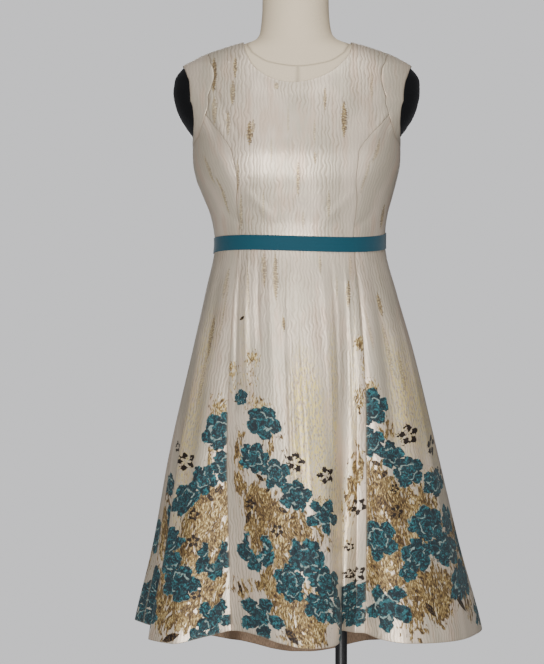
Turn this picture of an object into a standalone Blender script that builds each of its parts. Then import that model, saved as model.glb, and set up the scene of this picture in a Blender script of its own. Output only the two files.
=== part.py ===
"""A sleeveless princess-line dress with a flared, folded skirt and a sewn-on waistband, worn by a
dress form on a pole stand.

Metres, +Z up. The origin is the middle of the stand's underside, on the floor. The front of the dress
faces -Y. A turn is an angle in degrees round the dress: 0 is its side at +X, 90 the middle of the back,
180 the side at -X and 270 the middle of the front.
"""

import math
from collections import namedtuple

import bmesh
import bpy
from mathutils import Matrix, Vector

# Cloth
CLOTH = 0.0015
SEAM_GAP = 0.0003
BAND_CLOTH = 0.0011
BAND_GAP = 0.0008
WAISTBAND_DEPTH = 0.026
WAIST_HEIGHT = 1.0630
WAIST_TILT = 0.0048
WAIST_DIP = 0.0050
WAIST_WAVE = 0.0050
LEVEL_REACH = 0.020

# Where the dress stands beside the pole
BODY_X = -0.070

# Form and stand
FORM_BOTTOM = 0.800
NECK_TOP = 1.500
NECK_EDGE_ROUND = 0.006
PLATE_MARGIN = 0.0025
PLATE_FLOOR_X = 0.160
POLE_RADIUS = 0.0102
FLANGE_RADIUS = 0.036
FLANGE_THICK = 0.009
BASE_RADIUS = 0.190
BASE_THICK = 0.008
BASE_EDGE = 0.0025
BOSS_RADIUS = 0.022
BOSS_TOP = 0.038

# Fineness of the meshes
FRONT_NECK_COLUMNS = 14
BACK_NECK_COLUMNS = 7
SIDE_COLUMNS = 7
SEAM_ROWS = 10
ARMHOLE_ROWS = 9
SHOULDER_ROWS = 4
BAND_COLUMNS = 3
SKIRT_ROWS = 10
FORM_COLUMNS = 44
FORM_LOW_RINGS = (FORM_BOTTOM, 0.860, 0.920, 0.980, 1.020, 1.045, 1.063, 1.082, 1.105, 1.140, 1.175)
FORM_HIGH_START = 1.210
FORM_HIGH_ROWS = 15
NECK_ROWS = 4
DEGREE = math.pi / 180

# The form's cross-sections. front and back are measured from the side seams, square is 2 for an oval
# and more for a boxier one, lean moves the section sideways, and ease is the room under the dress.
Section = namedtuple("Section", "height half_width front back square lean ease")
FORM_SECTIONS = (
    Section(FORM_BOTTOM, 0.150, 0.103, 0.110, 2.1, 0.000, 0.0030),
    Section(0.830, 0.160, 0.109, 0.119, 2.1, 0.000, 0.0030),
    Section(0.890, 0.166, 0.114, 0.124, 2.1, 0.000, 0.0030),
    Section(0.960, 0.156, 0.111, 0.112, 2.1, 0.000, 0.0030),
    Section(1.020, 0.144, 0.106, 0.097, 2.2, 0.000, 0.0030),
    Section(1.062, 0.140, 0.103, 0.092, 2.2, 0.000, 0.0030),
    Section(1.088, 0.142, 0.107, 0.094, 2.3, -0.001, 0.0028),
    Section(1.113, 0.147, 0.115, 0.098, 2.4, -0.002, 0.0025),
    Section(1.143, 0.157, 0.125, 0.104, 2.5, -0.004, 0.0025),
    Section(1.174, 0.167, 0.133, 0.111, 2.6, -0.006, 0.0025),
    Section(1.200, 0.172, 0.135, 0.115, 2.6, -0.006, 0.0022),
    Section(1.235, 0.1735, 0.130, 0.118, 2.5, -0.006, 0.0018),
    Section(1.256, 0.186, 0.125, 0.119, 2.4, -0.006, 0.0014),
    Section(1.276, 0.1980, 0.119, 0.118, 2.3, -0.006, 0.0020),
    Section(1.296, 0.2052, 0.113, 0.116, 2.2, -0.006, 0.0020),
    Section(1.317, 0.2088, 0.105, 0.113, 2.2, -0.006, 0.0018),
    Section(1.337, 0.2075, 0.097, 0.109, 2.1, -0.005, 0.0024),
    Section(1.3575, 0.1950, 0.088, 0.103, 2.0, -0.005, 0.0028),
    Section(1.368, 0.1770, 0.083, 0.099, 2.0, -0.004, 0.0028),
    Section(1.378, 0.1580, 0.078, 0.095, 2.0, -0.004, 0.0026),
    Section(1.3915, 0.1190, 0.072, 0.088, 2.0, -0.004, 0.0024),
    Section(1.400, 0.0900, 0.068, 0.080, 2.0, -0.005, 0.0022),
    Section(1.4085, 0.0690, 0.065, 0.072, 2.0, -0.006, 0.0014),
    Section(1.4187, 0.0615, 0.063, 0.066, 2.0, -0.007, 0.0014),
    Section(1.439, 0.0580, 0.062, 0.059, 2.0, -0.0075, 0.0014),
    Section(1.4595, 0.0566, 0.062, 0.055, 2.0, -0.0075, 0.0014),
    Section(NECK_TOP, 0.0560, 0.064, 0.050, 2.0, -0.0075, 0.0014),
)

# The skirt's ovals before its folds: to its sides at +X and -X, to the front and to the back.
Oval = namedtuple("Oval", "height right left front back square")
SKIRT_OVALS = (
    Oval(0.320, 0.326, 0.302, 0.235, 0.262, 2.0),
    Oval(0.420, 0.307, 0.283, 0.219, 0.245, 2.0),
    Oval(0.550, 0.271, 0.252, 0.194, 0.219, 2.0),
    Oval(0.700, 0.236, 0.225, 0.168, 0.189, 2.0),
    Oval(0.880, 0.193, 0.184, 0.139, 0.153, 2.1),
    Oval(0.980, 0.164, 0.161, 0.123, 0.127, 2.2),
    Oval(1.055, 0.1449, 0.1449, 0.1080, 0.0968, 2.2),
    Oval(1.062, 0.1445, 0.1445, 0.1075, 0.0965, 2.2),
    Oval(1.072, 0.1450, 0.1450, 0.1084, 0.0968, 2.2),
)

# The skirt's folds. A line of cloth leaves the waist at turn and reaches the hem at hem_turn of the
# oval there; reach is 1 on that oval, more on a ridge and less in a valley; hem is its height.
Fold = namedtuple("Fold", "turn hem_turn reach hem")
SKIRT_FOLDS = (
    Fold(0.0, -2.0, 1.000, 0.410),
    Fold(8.0, 9.0, 1.010, 0.406),
    Fold(20.0, 25.0, 0.930, 0.399),
    Fold(32.0, 40.0, 1.050, 0.383),
    Fold(42.0, 52.0, 0.970, 0.368),
    Fold(48.0, 58.0, 0.900, 0.361),
    Fold(58.0, 69.0, 1.040, 0.350),
    Fold(72.0, 79.0, 0.930, 0.337),
    Fold(84.0, 86.5, 1.000, 0.329),
    Fold(96.0, 91.5, 1.000, 0.329),
    Fold(108.0, 99.0, 0.930, 0.337),
    Fold(122.0, 109.0, 1.040, 0.349),
    Fold(132.0, 120.0, 0.900, 0.362),
    Fold(138.0, 127.0, 0.970, 0.370),
    Fold(148.0, 140.0, 1.050, 0.385),
    Fold(160.0, 155.0, 0.930, 0.402),
    Fold(174.0, 172.0, 1.010, 0.419),
    Fold(180.0, 180.0, 0.940, 0.417),
    Fold(190.7, 196.7, 0.820, 0.412),
    Fold(201.3, 210.3, 1.015, 0.406),
    Fold(210.8, 224.3, 1.033, 0.406),
    Fold(219.7, 233.6, 0.913, 0.418),
    Fold(226.0, 239.9, 0.806, 0.426),
    Fold(231.6, 245.9, 0.840, 0.427),
    Fold(242.0, 255.3, 0.938, 0.424),
    Fold(252.0, 263.0, 1.040, 0.417),
    Fold(264.0, 272.1, 1.094, 0.410),
    Fold(276.0, 280.0, 0.992, 0.411),
    Fold(292.0, 288.3, 0.700, 0.425),
    Fold(301.5, 289.6, 0.848, 0.426),
    Fold(306.0, 293.8, 0.839, 0.424),
    Fold(310.5, 295.4, 0.950, 0.418),
    Fold(318.5, 302.0, 1.060, 0.412),
    Fold(336.0, 324.0, 1.035, 0.408),
    Fold(349.0, 343.0, 1.000, 0.409),
)
FOLD_GROWTH = 1.5

# The neckline is half an oval in front, a little lower on the side at -X, and a shallower one behind.
NECK_POINT = 1.4000
NECK_HALF_WIDTH = 0.090
NECK_DROP = {"front": 0.0764, "back": 0.0140}
NECK_SKEW = {"front": 0.0030, "back": 0.0}

# The seam between the form's neck and its torso, by turn.
NeckSeam = namedtuple("NeckSeam", "turn height")
NECK_SEAM = (
    NeckSeam(0.0, 1.4075),
    NeckSeam(90.0, 1.4130),
    NeckSeam(180.0, 1.4075),
    NeckSeam(217.4, 1.3946),
    NeckSeam(232.6, 1.3862),
    NeckSeam(242.8, 1.3758),
    NeckSeam(256.6, 1.3595),
    NeckSeam(270.0, 1.3529),
    NeckSeam(283.4, 1.3595),
    NeckSeam(297.2, 1.3758),
    NeckSeam(307.4, 1.3862),
    NeckSeam(322.6, 1.3946),
)

# An armhole loop seen from the side: an oval in depth and height, whose lower half is spread wider.
Loop = namedtuple("Loop", "middle half_height half_depth low_spread")
ARMHOLE_EDGE = Loop(1.2975, 0.0625, 0.0640, 0.45)
ARMHOLE_SEAM = Loop(1.3020, 0.0800, 0.0830, 0.30)
ARMHOLE_PLATE = Loop(
    ARMHOLE_EDGE.middle,
    ARMHOLE_EDGE.half_height + PLATE_MARGIN,
    ARMHOLE_EDGE.half_depth + PLATE_MARGIN,
    ARMHOLE_EDGE.low_spread,
)

# The princess seams' turns from the waist up, before they meet the armhole seam.
Princess = namedtuple("Princess", "height front_right front_left back_right back_left")
PRINCESS_SEAMS = (
    Princess(1.0624, 306.0, 226.0, 48.0, 132.0),
    Princess(1.1200, 304.6, 230.9, 49.0, 131.0),
    Princess(1.1720, 299.4, 239.3, 51.0, 129.0),
    Princess(1.2045, 299.4, 237.8, 51.0, 129.0),
    Princess(1.2400, 309.9, 228.5, 46.0, 134.0),
)
PRINCESS_LOOP_ANGLE = -22.0

# Zip
ZIP_HEIGHT = 1.3700
SLIDER_WIDTH = 0.0064
SLIDER_LENGTH = 0.0085
SLIDER_THICK = 0.0016
PIN_RADIUS = 0.0008
PIN_OUT = 0.0040
EAR_WIDTH = 0.0011
EAR_RADIUS = 0.0015
EYE_RADIUS = 0.0021
EYE_HOLE = 0.0012
TAB_LENGTH = 0.0240
TAB_THICK = 0.0012
TAB_TOP_WIDTH = 0.0032
TAB_WIDTH = 0.0070


class Curve:
    """A smooth line through a table's rows that never swings past them. It can close on itself."""

    def __init__(self, stations, values, period=None):
        stations, values = list(stations), list(values)
        if period:
            step = values[0] + (period if values[-1] > 180 else 0)
            stations = [stations[-1] - period] + stations + [stations[0] + period, stations[1] + period]
            values = [values[-1] - (step - values[0])] + values + [step, values[1] + step - values[0]]
        self.period, self.stations, self.values = period, stations, values
        gaps = [b - a for a, b in zip(stations, stations[1:])]
        rises = [(b - a) / g for a, b, g in zip(values, values[1:], gaps)]
        self.slopes = [rises[0]]
        for before, after in zip(rises, rises[1:]):
            level = before * after <= 0
            self.slopes.append(0.0 if level else 2 * before * after / (before + after))
        self.slopes.append(rises[-1])

    def __call__(self, at):
        turns = 0
        if self.period:
            turns = math.floor(at / self.period)
            at -= turns * self.period
        at = min(max(at, self.stations[0]), self.stations[-1])
        row = 0
        while row < len(self.stations) - 2 and at > self.stations[row + 1]:
            row += 1
        gap = self.stations[row + 1] - self.stations[row]
        t = (at - self.stations[row]) / gap
        start, end = self.values[row], self.values[row + 1]
        value = start * (1 + 2 * t) * (1 - t) ** 2 + end * t * t * (3 - 2 * t)
        value += gap * t * (1 - t) * (self.slopes[row] * (1 - t) - self.slopes[row + 1] * t)
        winds = self.period and self.values[-2] - self.values[1] > 180
        return value + (turns * self.period if winds else 0)


def columns_of(rows, station, period=None):
    """One curve for each column of a table, by the column's name."""
    stations = [getattr(row, station) for row in rows]
    names = [name for name in rows[0]._fields if name != station]
    return {name: Curve(stations, [getattr(row, name) for row in rows], period) for name in names}


FORM = columns_of(FORM_SECTIONS, "height")
SKIRT = columns_of(SKIRT_OVALS, "height")
FOLDS = columns_of(SKIRT_FOLDS, "turn", 360.0)
SEAM_OF_NECK = columns_of(NECK_SEAM, "turn", 360.0)["height"]


def mix(start, end, share):
    return start + (end - start) * share


def oval_point(turn, right, left, front, back, square):
    """A point of a superellipse with four unlike radii, about the middle."""
    c, s = math.cos(turn * DEGREE), math.sin(turn * DEGREE)
    across, deep = abs(c) ** (2 / square), abs(s) ** (2 / square)
    return (right if c > 0 else -left) * across, (back if s > 0 else -front) * deep


def form_point(turn, height):
    half = FORM["half_width"](height)
    x, y = oval_point(turn, half, half, FORM["front"](height), FORM["back"](height), FORM["square"](height))
    return Vector((BODY_X + FORM["lean"](height) + x, y, height))


def outward(surface, turn, along, turn_step=0.5, along_step=0.002):
    """The surface's outward normal, where its second input runs up the body."""
    round_it = surface(turn + turn_step, along) - surface(turn - turn_step, along)
    up_it = surface(turn, along + along_step) - surface(turn, along - along_step)
    return round_it.cross(up_it).normalized()


def waist_height(turn):
    wave = WAIST_WAVE * math.sin(2 * turn * DEGREE)
    dip = WAIST_DIP * math.sin(turn * DEGREE)
    return WAIST_HEIGHT + WAIST_TILT * math.cos(turn * DEGREE) + dip + wave


def levelled(normal, turn, height):
    """The normal, brought level near the waist seam so that bodice and skirt meet edge to edge."""
    near = min(1.0, abs(height - waist_height(turn)) / LEVEL_REACH)
    return Vector((normal.x, normal.y, normal.z * near)).normalized()


def bodice_point(turn, height, out):
    """A point of the bodice, out from its inner face."""
    normal = levelled(outward(form_point, turn, height), turn, height)
    return form_point(turn, height) + normal * (FORM["ease"](height) + out)


def skirt_face(turn, share):
    """The skirt's outer face. share is 1 at the waist and 0 at the hem."""
    drop = 1 - share
    height = mix(waist_height(turn), FOLDS["hem"](turn), drop)
    oval_turn = mix(turn, FOLDS["hem_turn"](turn), drop)
    reach = 1 + (FOLDS["reach"](turn) - 1) * max(drop, 0.0) ** FOLD_GROWTH
    radii = [SKIRT[name](height) for name in ("right", "left", "front", "back", "square")]
    x, y = oval_point(oval_turn, *radii)
    return Vector((BODY_X + x * reach, y * reach, height))


def skirt_point(turn, share, out):
    """A point of the skirt, out from its inner face."""
    face = skirt_face(turn, share)
    return face + levelled(outward(skirt_face, turn, share), turn, face.z) * (out - CLOTH)


def loop_place(loop, side, angle):
    """(turn, height) of a point of an armhole loop. angle is 0 at its front and 90 at its top."""
    height = loop.middle + loop.half_height * math.sin(angle * DEGREE)
    low = max(0.0, -math.sin(angle * DEGREE))
    depth = loop.half_depth * math.cos(angle * DEGREE) * (1 + loop.low_spread * low)
    reach = FORM["front" if depth > 0 else "back"](height)
    swing = math.asin(min(1.0, (abs(depth) / reach) ** (FORM["square"](height) / 2))) / DEGREE
    swing = math.copysign(swing, depth)
    return (360.0 - swing if side > 0 else 180.0 + swing), height


def princess_place(name, side, angle, share):
    """(turn, height) along a princess seam, from the waist at share 0 to the armhole seam at 1."""
    top_turn, top_height = loop_place(ARMHOLE_SEAM, side, angle)
    top_turn -= 360.0 * round((top_turn - getattr(PRINCESS_SEAMS[-1], name)) / 360.0)
    heights = [row.height for row in PRINCESS_SEAMS] + [top_height]
    turns = [getattr(row, name) for row in PRINCESS_SEAMS] + [top_turn]
    height = mix(waist_height(turns[0]), top_height, share)
    return Curve(heights, turns)(height), height


def spread(first, last, steps):
    """Evenly spaced values with both ends."""
    return [mix(first, last, n / steps) for n in range(steps + 1)]


def rows_from_waist(length, rows):
    """Shares of a length that starts at the waist, with a row at the waistband's edge."""
    return [0.0] + spread(WAISTBAND_DEPTH / 2 / length, 1.0, rows - 1)


def arc_angles(last, first=PRINCESS_LOOP_ANGLE):
    """Angles up an armhole loop from the princess seam to the shoulder, closer near the shoulder."""
    return [mix(first, last, math.sin(90 * DEGREE * n / ARMHOLE_ROWS)) for n in range(ARMHOLE_ROWS + 1)]


def fullness(point):
    """1 on the form's surface, less inside it and more outside."""
    half, square = FORM["half_width"](point.z), FORM["square"](point.z)
    reach = FORM["back" if point.y > 0 else "front"](point.z)
    x = abs(point.x - BODY_X - FORM["lean"](point.z)) / half
    return x ** square + (abs(point.y) / reach) ** square


def nearest_place(point):
    """The (turn, height) of the form's surface nearest to a point."""
    step = 0.0005
    for _ in range(5):
        level = fullness(point)
        nudges = [Vector([step if k == axis else 0.0 for k in range(3)]) for axis in range(3)]
        slope = Vector([(fullness(point + n) - fullness(point - n)) / (2 * step) for n in nudges])
        point = point - slope * (level - 1) / slope.length_squared
    half, square = FORM["half_width"](point.z), FORM["square"](point.z)
    reach = FORM["back" if point.y > 0 else "front"](point.z)
    x = point.x - BODY_X - FORM["lean"](point.z)
    across = math.copysign((abs(x) / half) ** (square / 2), x)
    deep = math.copysign((abs(point.y) / reach) ** (square / 2), point.y)
    return math.atan2(deep, across) / DEGREE, point.z


def shares_along(points):
    """How far along its line each point lies, from 0 to 1."""
    reached = [0.0]
    for before, after in zip(points, points[1:]):
        reached.append(reached[-1] + (after - before).length)
    return [distance / reached[-1] for distance in reached]


def coons(bottom, top, start, end):
    """A grid of (turn, height) places that fills four edges. bottom and top run the same way."""
    bottom, top, start, end = [[form_point(*place) for place in edge] for edge in (bottom, top, start, end)]
    low_shares, high_shares = shares_along(bottom), shares_along(top)
    start_shares, end_shares = shares_along(start), shares_along(end)
    grid = []
    for i in range(len(start)):
        line = []
        for j in range(len(bottom)):
            u = mix(low_shares[j], high_shares[j], start_shares[i])
            v = mix(start_shares[i], end_shares[i], u)
            edges = bottom[j].lerp(top[j], v) + start[i].lerp(end[i], u)
            corners = bottom[0].lerp(bottom[-1], u).lerp(top[0].lerp(top[-1], u), v)
            line.append(nearest_place(edges - corners))
        grid.append(line)
    return grid


def waist_places(first, last, steps):
    return [(turn, waist_height(turn)) for turn in spread(first, last, steps)]


def seam_places(name, side, angle):
    low, high = (princess_place(name, side, angle, share)[1] for share in (0, 1))
    shares = rows_from_waist(high - low, SEAM_ROWS)
    return [princess_place(name, side, angle, share) for share in shares]


def upright_places(turn, top, rows):
    """Places straight up the body from the waist."""
    low = waist_height(turn)
    return [(turn, mix(low, top, share)) for share in rows_from_waist(top - low, rows)]


def unwrap(places, near):
    """Turns moved by whole rounds so that they lie near the one given."""
    return [(turn - 360.0 * round((turn - near) / 360.0), height) for turn, height in places]


def evenly(places, steps):
    """Places picked from a fine line of them, at even distances."""
    shares = shares_along([form_point(*place) for place in places])
    picked = []
    for wanted in spread(0.0, 1.0, steps):
        picked.append(min(range(len(places)), key=lambda n: abs(shares[n] - wanted)))
    return [places[n] for n in picked]


def neck_places(side, face, steps):
    """Places along the neckline, from the shoulder seam to the middle of the front or back."""
    fine = []
    for angle in spread(0.0, 90.0, 900):
        height = NECK_POINT - NECK_DROP[face] * math.sin(angle * DEGREE)
        height += side * NECK_SKEW[face] * math.sin(2 * angle * DEGREE)
        across = NECK_HALF_WIDTH * math.cos(angle * DEGREE) / FORM["half_width"](height)
        swing = math.acos(min(1.0, across) ** (FORM["square"](height) / 2)) / DEGREE
        if face == "front":
            swing = -swing
        fine.append((swing if side > 0 else 180.0 - swing, height))
    return evenly(fine, steps)


def shoulder_places(side_turn):
    """Places along the shoulder seam, from the armhole seam to the neckline."""
    top = loop_place(ARMHOLE_SEAM, 1, 90.0)[1]
    return [(side_turn, height) for height in spread(top, NECK_POINT, SHOULDER_ROWS)]


def trimmed(grid, closed=False):
    """The grid with its open edges drawn in by half a seam gap."""
    rows, columns = len(grid), len(grid[0])
    half = SEAM_GAP / 2
    moved = [[point.copy() for point in line] for line in grid]
    for j in range(columns):
        moved[0][j] += (grid[1][j] - grid[0][j]).normalized() * half
        moved[-1][j] += (grid[-2][j] - grid[-1][j]).normalized() * half
    if not closed:
        for i in range(rows):
            moved[i][0] += (grid[i][1] - grid[i][0]).normalized() * half
            moved[i][-1] += (grid[i][-2] - grid[i][-1]).normalized() * half
    return moved


def finish(name, mesh, material, smooth_angle=40.0):
    """An object that holds the mesh, with rounded shading."""
    bmesh.ops.recalc_face_normals(mesh, faces=mesh.faces)
    data = bpy.data.meshes.new(name)
    mesh.to_mesh(data)
    mesh.free()
    data.materials.append(material)
    data.shade_smooth()
    data.set_sharp_from_angle(angle=smooth_angle * DEGREE)
    made = bpy.data.objects.new(name, data)
    bpy.context.scene.collection.objects.link(made)
    return made


def wall(name, inner, outer, material, closed=False):
    """A cloth wall between two grids of points. A closed one joins its last column to its first."""
    inner, outer = trimmed(inner, closed), trimmed(outer, closed)
    rows, columns = len(inner), len(inner[0])
    mesh = bmesh.new()
    faces = [[[mesh.verts.new(p) for p in line] for line in grid] for grid in (inner, outer)]
    spans = columns if closed else columns - 1
    for i in range(rows - 1):
        for j in range(spans):
            k = (j + 1) % columns
            for face in faces:
                mesh.faces.new((face[i][j], face[i][k], face[i + 1][k], face[i + 1][j]))
    for i in (0, rows - 1):
        for j in range(spans):
            k = (j + 1) % columns
            mesh.faces.new((faces[0][i][j], faces[1][i][j], faces[1][i][k], faces[0][i][k]))
    if not closed:
        for j in (0, columns - 1):
            for i in range(rows - 1):
                mesh.faces.new((faces[0][i][j], faces[1][i][j], faces[1][i + 1][j], faces[0][i + 1][j]))
    return finish(name, mesh, material)


def bodice_panel(name, places, material):
    inner = [[bodice_point(*place, 0.0) for place in line] for line in places]
    outer = [[bodice_point(*place, CLOTH) for place in line] for line in places]
    return wall(name, inner, outer, material)


def centre_edge(face, word, side, side_turn):
    """A centre panel's side edge: up the princess seam, the armhole seam and the shoulder seam."""
    angles = arc_angles(90.0)
    if face == "back":
        angles = [180.0 - angle for angle in angles]
    edge = seam_places(f"{face}_{word}", side, angles[0])
    edge += unwrap([loop_place(ARMHOLE_SEAM, side, angle) for angle in angles[1:]], side_turn)
    return edge + shoulder_places(side_turn)[1:]


def make_front_centre(material):
    """The front, from princess seam to princess seam and up to the shoulders and neckline."""
    left = centre_edge("front", "left", -1, 180.0)
    right = centre_edge("front", "right", 1, 360.0)
    half = FRONT_NECK_COLUMNS // 2
    top = neck_places(-1, "front", half) + neck_places(1, "front", half)[-2::-1]
    bottom = waist_places(left[0][0], right[0][0], FRONT_NECK_COLUMNS)
    bodice_panel("bodice_front_centre", coons(bottom, top, left, right), material)


def make_back_centre(word, side, side_turn, material):
    """Half of the back, from the zip to the princess seam and up to the shoulder and neckline."""
    start = centre_edge("back", word, side, side_turn)
    top = neck_places(side, "back", BACK_NECK_COLUMNS)
    bottom = waist_places(start[0][0], 90.0, BACK_NECK_COLUMNS)
    end = upright_places(90.0, top[-1][1], len(start) - 1)
    bodice_panel("bodice_back_" + word, coons(bottom, top, start, end), material)


def make_side_panel(face, word, side, side_turn, material):
    """A side panel, from the side seam to a princess seam and up to the armhole seam."""
    top_angle = PRINCESS_LOOP_ANGLE if face == "front" else 180.0 - PRINCESS_LOOP_ANGLE
    low_angle = -90.0 if face == "front" else 270.0
    end = seam_places(f"{face}_{word}", side, top_angle)
    near = end[-1][0]
    angles = spread(low_angle, top_angle, SIDE_COLUMNS)
    top = unwrap([loop_place(ARMHOLE_SEAM, side, a) for a in angles], near)
    bottom = waist_places(side_turn, end[0][0], SIDE_COLUMNS)
    start = upright_places(side_turn, top[0][1], SEAM_ROWS)
    bodice_panel(f"bodice_{face}_side_{word}", coons(bottom, top, start, end), material)


def armhole_angles():
    """Every station round an armhole seam, shared with the panels that it joins."""
    lower = spread(-90.0, PRINCESS_LOOP_ANGLE, SIDE_COLUMNS)
    upper = arc_angles(90.0)[1:]
    front = lower + upper
    back = [180.0 - angle for angle in reversed(front[:-1])]
    return front + back[:-1]


def make_armhole_band(word, side, material):
    """The band that is sewn round an armhole."""
    grids = []
    for out in (0.0, CLOTH):
        grid = []
        for row in range(BAND_COLUMNS + 1):
            share = row / BAND_COLUMNS
            loop = Loop(*(mix(a, b, share) for a, b in zip(ARMHOLE_SEAM, ARMHOLE_EDGE)))
            places = [loop_place(loop, side, angle) for angle in armhole_angles()]
            grid.append([bodice_point(*place, out) for place in places])
        grids.append(grid)
    wall("armhole_band_" + word, *grids, material, closed=True)


def make_gore(name, first, last, columns, material):
    """A gore of the skirt, between two turns."""
    grids = []
    for out in (0.0, CLOTH):
        grid = []
        for turn in spread(first, last, columns):
            drops = rows_from_waist(waist_height(turn) - FOLDS["hem"](turn), SKIRT_ROWS)
            grid.append([skirt_point(turn, 1 - drop, out) for drop in drops])
        grids.append([list(row) for row in zip(*grid)])
    wall(name, *grids, material)


def band_point(turn, rise, out):
    """A point of the waistband, which lies on the bodice above the waist seam and the skirt below."""
    height = waist_height(turn) + rise
    if rise > 0:
        return bodice_point(turn, height, CLOTH + BAND_GAP + out)
    share = 1 + rise / (waist_height(turn) - FOLDS["hem"](turn))
    return skirt_point(turn, share, CLOTH + BAND_GAP + out)


def make_waistband(gores, material):
    """The band over the waist seam, open at the zip. It has a column at every second one of the skirt's."""
    turns = []
    for _, first, last, columns in gores:
        turns += spread(first, last, columns // 2)[:-1]
    turns = sorted((turn - 90.0) % 360.0 + 90.0 for turn in turns) + [450.0]
    rises = spread(WAISTBAND_DEPTH / 2, -WAISTBAND_DEPTH / 2, 2)
    grids = [[[band_point(turn, rise, out) for turn in turns] for rise in rises] for out in (0.0, BAND_CLOTH)]
    wall("waistband", *grids, material)


def closed_skin(mesh, grid, low_middle, high_middle):
    """Rings joined into one skin, with a fan of faces over each end."""
    rings = [[mesh.verts.new(point) for point in line] for line in grid]
    count = len(rings[0])
    for low, high in zip(rings, rings[1:]):
        for j in range(count):
            k = (j + 1) % count
            mesh.faces.new((low[j], low[k], high[k], high[j]))
    for ring, middle in ((rings[0], low_middle), (rings[-1], high_middle)):
        centre = mesh.verts.new(middle)
        for j in range(count):
            mesh.faces.new((ring[j], ring[(j + 1) % count], centre))


def neck_seam_middle(lift):
    """The middle of the face where neck and torso meet."""
    heights = [SEAM_OF_NECK(turn) for turn in (0.0, 90.0, 180.0, 270.0)]
    return Vector((BODY_X + FORM["lean"](heights[0]), 0.0, sum(heights) / 4 + lift))


def torso_mesh():
    """The form's body, from its flat bottom to the neck seam, as a mesh."""
    mesh = bmesh.new()
    turns = spread(0.0, 360.0, FORM_COLUMNS)[:-1]
    grid = []
    for height in FORM_LOW_RINGS:
        grid.append([form_point(turn, height) for turn in turns])
    for share in spread(0.0, 1.0, FORM_HIGH_ROWS):
        rise = (share + math.sin(share * math.pi / 2)) / 2
        grid.append([form_point(turn, mix(FORM_HIGH_START, SEAM_OF_NECK(turn), rise)) for turn in turns])
    closed_skin(mesh, grid, Vector((BODY_X, 0.0, FORM_BOTTOM)), neck_seam_middle(0.0))
    bmesh.ops.recalc_face_normals(mesh, faces=mesh.faces)
    return mesh


def plate_cutter(side, shrink):
    """An oval bar along X through an armhole. Its inner end is the floor behind the arm plate."""
    loop = ARMHOLE_PLATE
    mesh = bmesh.new()
    bmesh.ops.create_cone(mesh, cap_ends=True, segments=40, radius1=1.0, radius2=1.0, depth=1.0)
    for vert in mesh.verts:
        vert.co.y *= 1 + loop.low_spread * max(0.0, vert.co.x)
    length = 0.120
    middle = PLATE_FLOOR_X + shrink + length / 2
    sized = Matrix.Diagonal((loop.half_height - shrink, loop.half_depth - shrink, length, 1.0))
    placed = Matrix.Translation((BODY_X + side * middle, 0.0, loop.middle))
    bmesh.ops.transform(mesh, verts=mesh.verts, matrix=placed @ Matrix.Rotation(90 * DEGREE, 4, "Y") @ sized)
    bmesh.ops.recalc_face_normals(mesh, faces=mesh.faces)
    word = "right" if side > 0 else "left"
    data = bpy.data.meshes.new(f"cutter_{word}")
    mesh.to_mesh(data)
    mesh.free()
    cutter = bpy.data.objects.new(f"cutter_{word}_{round(shrink * 1e4)}", data)
    bpy.context.scene.collection.objects.link(cutter)
    cutter.hide_render = True
    cutter.display_type = "WIRE"
    return cutter


def add_boolean(made, operation, cutter):
    modifier = made.modifiers.new(f"{operation.lower()} {cutter.name}", "BOOLEAN")
    modifier.operation = operation
    modifier.solver = "EXACT"
    modifier.object = cutter


def make_form(linen, gloss):
    """The torso, with an oval seat at each armhole, and the plate that sits in each seat."""
    torso = finish("form_torso", torso_mesh(), linen)
    for word, side in (("right", 1), ("left", -1)):
        add_boolean(torso, "DIFFERENCE", plate_cutter(side, 0.0))
        plate = finish("arm_plate_" + word, torso_mesh(), gloss)
        add_boolean(plate, "INTERSECT", plate_cutter(side, SEAM_GAP))


def make_neck(linen):
    """The form's neck, with a softened flat top."""
    turns = spread(0.0, 360.0, FORM_COLUMNS)[:-1]
    shoulder = NECK_TOP - NECK_EDGE_ROUND
    grid = []
    for row in range(NECK_ROWS + 1):
        heights = [mix(SEAM_OF_NECK(turn) + SEAM_GAP, shoulder, row / NECK_ROWS) for turn in turns]
        grid.append([form_point(turn, height) for turn, height in zip(turns, heights)])
    middle = Vector((BODY_X + FORM["lean"](NECK_TOP), 0.0, NECK_TOP))
    for angle in (45.0, 90.0):
        inset = NECK_EDGE_ROUND * (1 - math.cos(angle * DEGREE))
        height = shoulder + NECK_EDGE_ROUND * math.sin(angle * DEGREE)
        ring = []
        for turn in turns:
            point = form_point(turn, shoulder)
            inwards = Vector((middle.x - point.x, -point.y, 0.0)).normalized()
            ring.append(Vector((point.x, point.y, height)) + inwards * inset)
        grid.append(ring)
    mesh = bmesh.new()
    closed_skin(mesh, grid, neck_seam_middle(SEAM_GAP), middle)
    finish("form_neck", mesh, linen)


def turned(name, profile, material, segments=36):
    """A solid turned about the pole's axis from (radius, height) points."""
    mesh = bmesh.new()
    points = [mesh.verts.new((radius, 0.0, height)) for radius, height in profile]
    edges = [mesh.edges.new(pair) for pair in zip(points, points[1:])]
    bmesh.ops.spin(
        mesh, geom=points + edges, cent=(0, 0, 0), axis=(0, 0, 1), angle=2 * math.pi,
        steps=segments, use_merge=True, use_duplicate=False,
    )
    bmesh.ops.remove_doubles(mesh, verts=mesh.verts, dist=1e-6)
    finish(name, mesh, material, 30.0)


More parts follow.
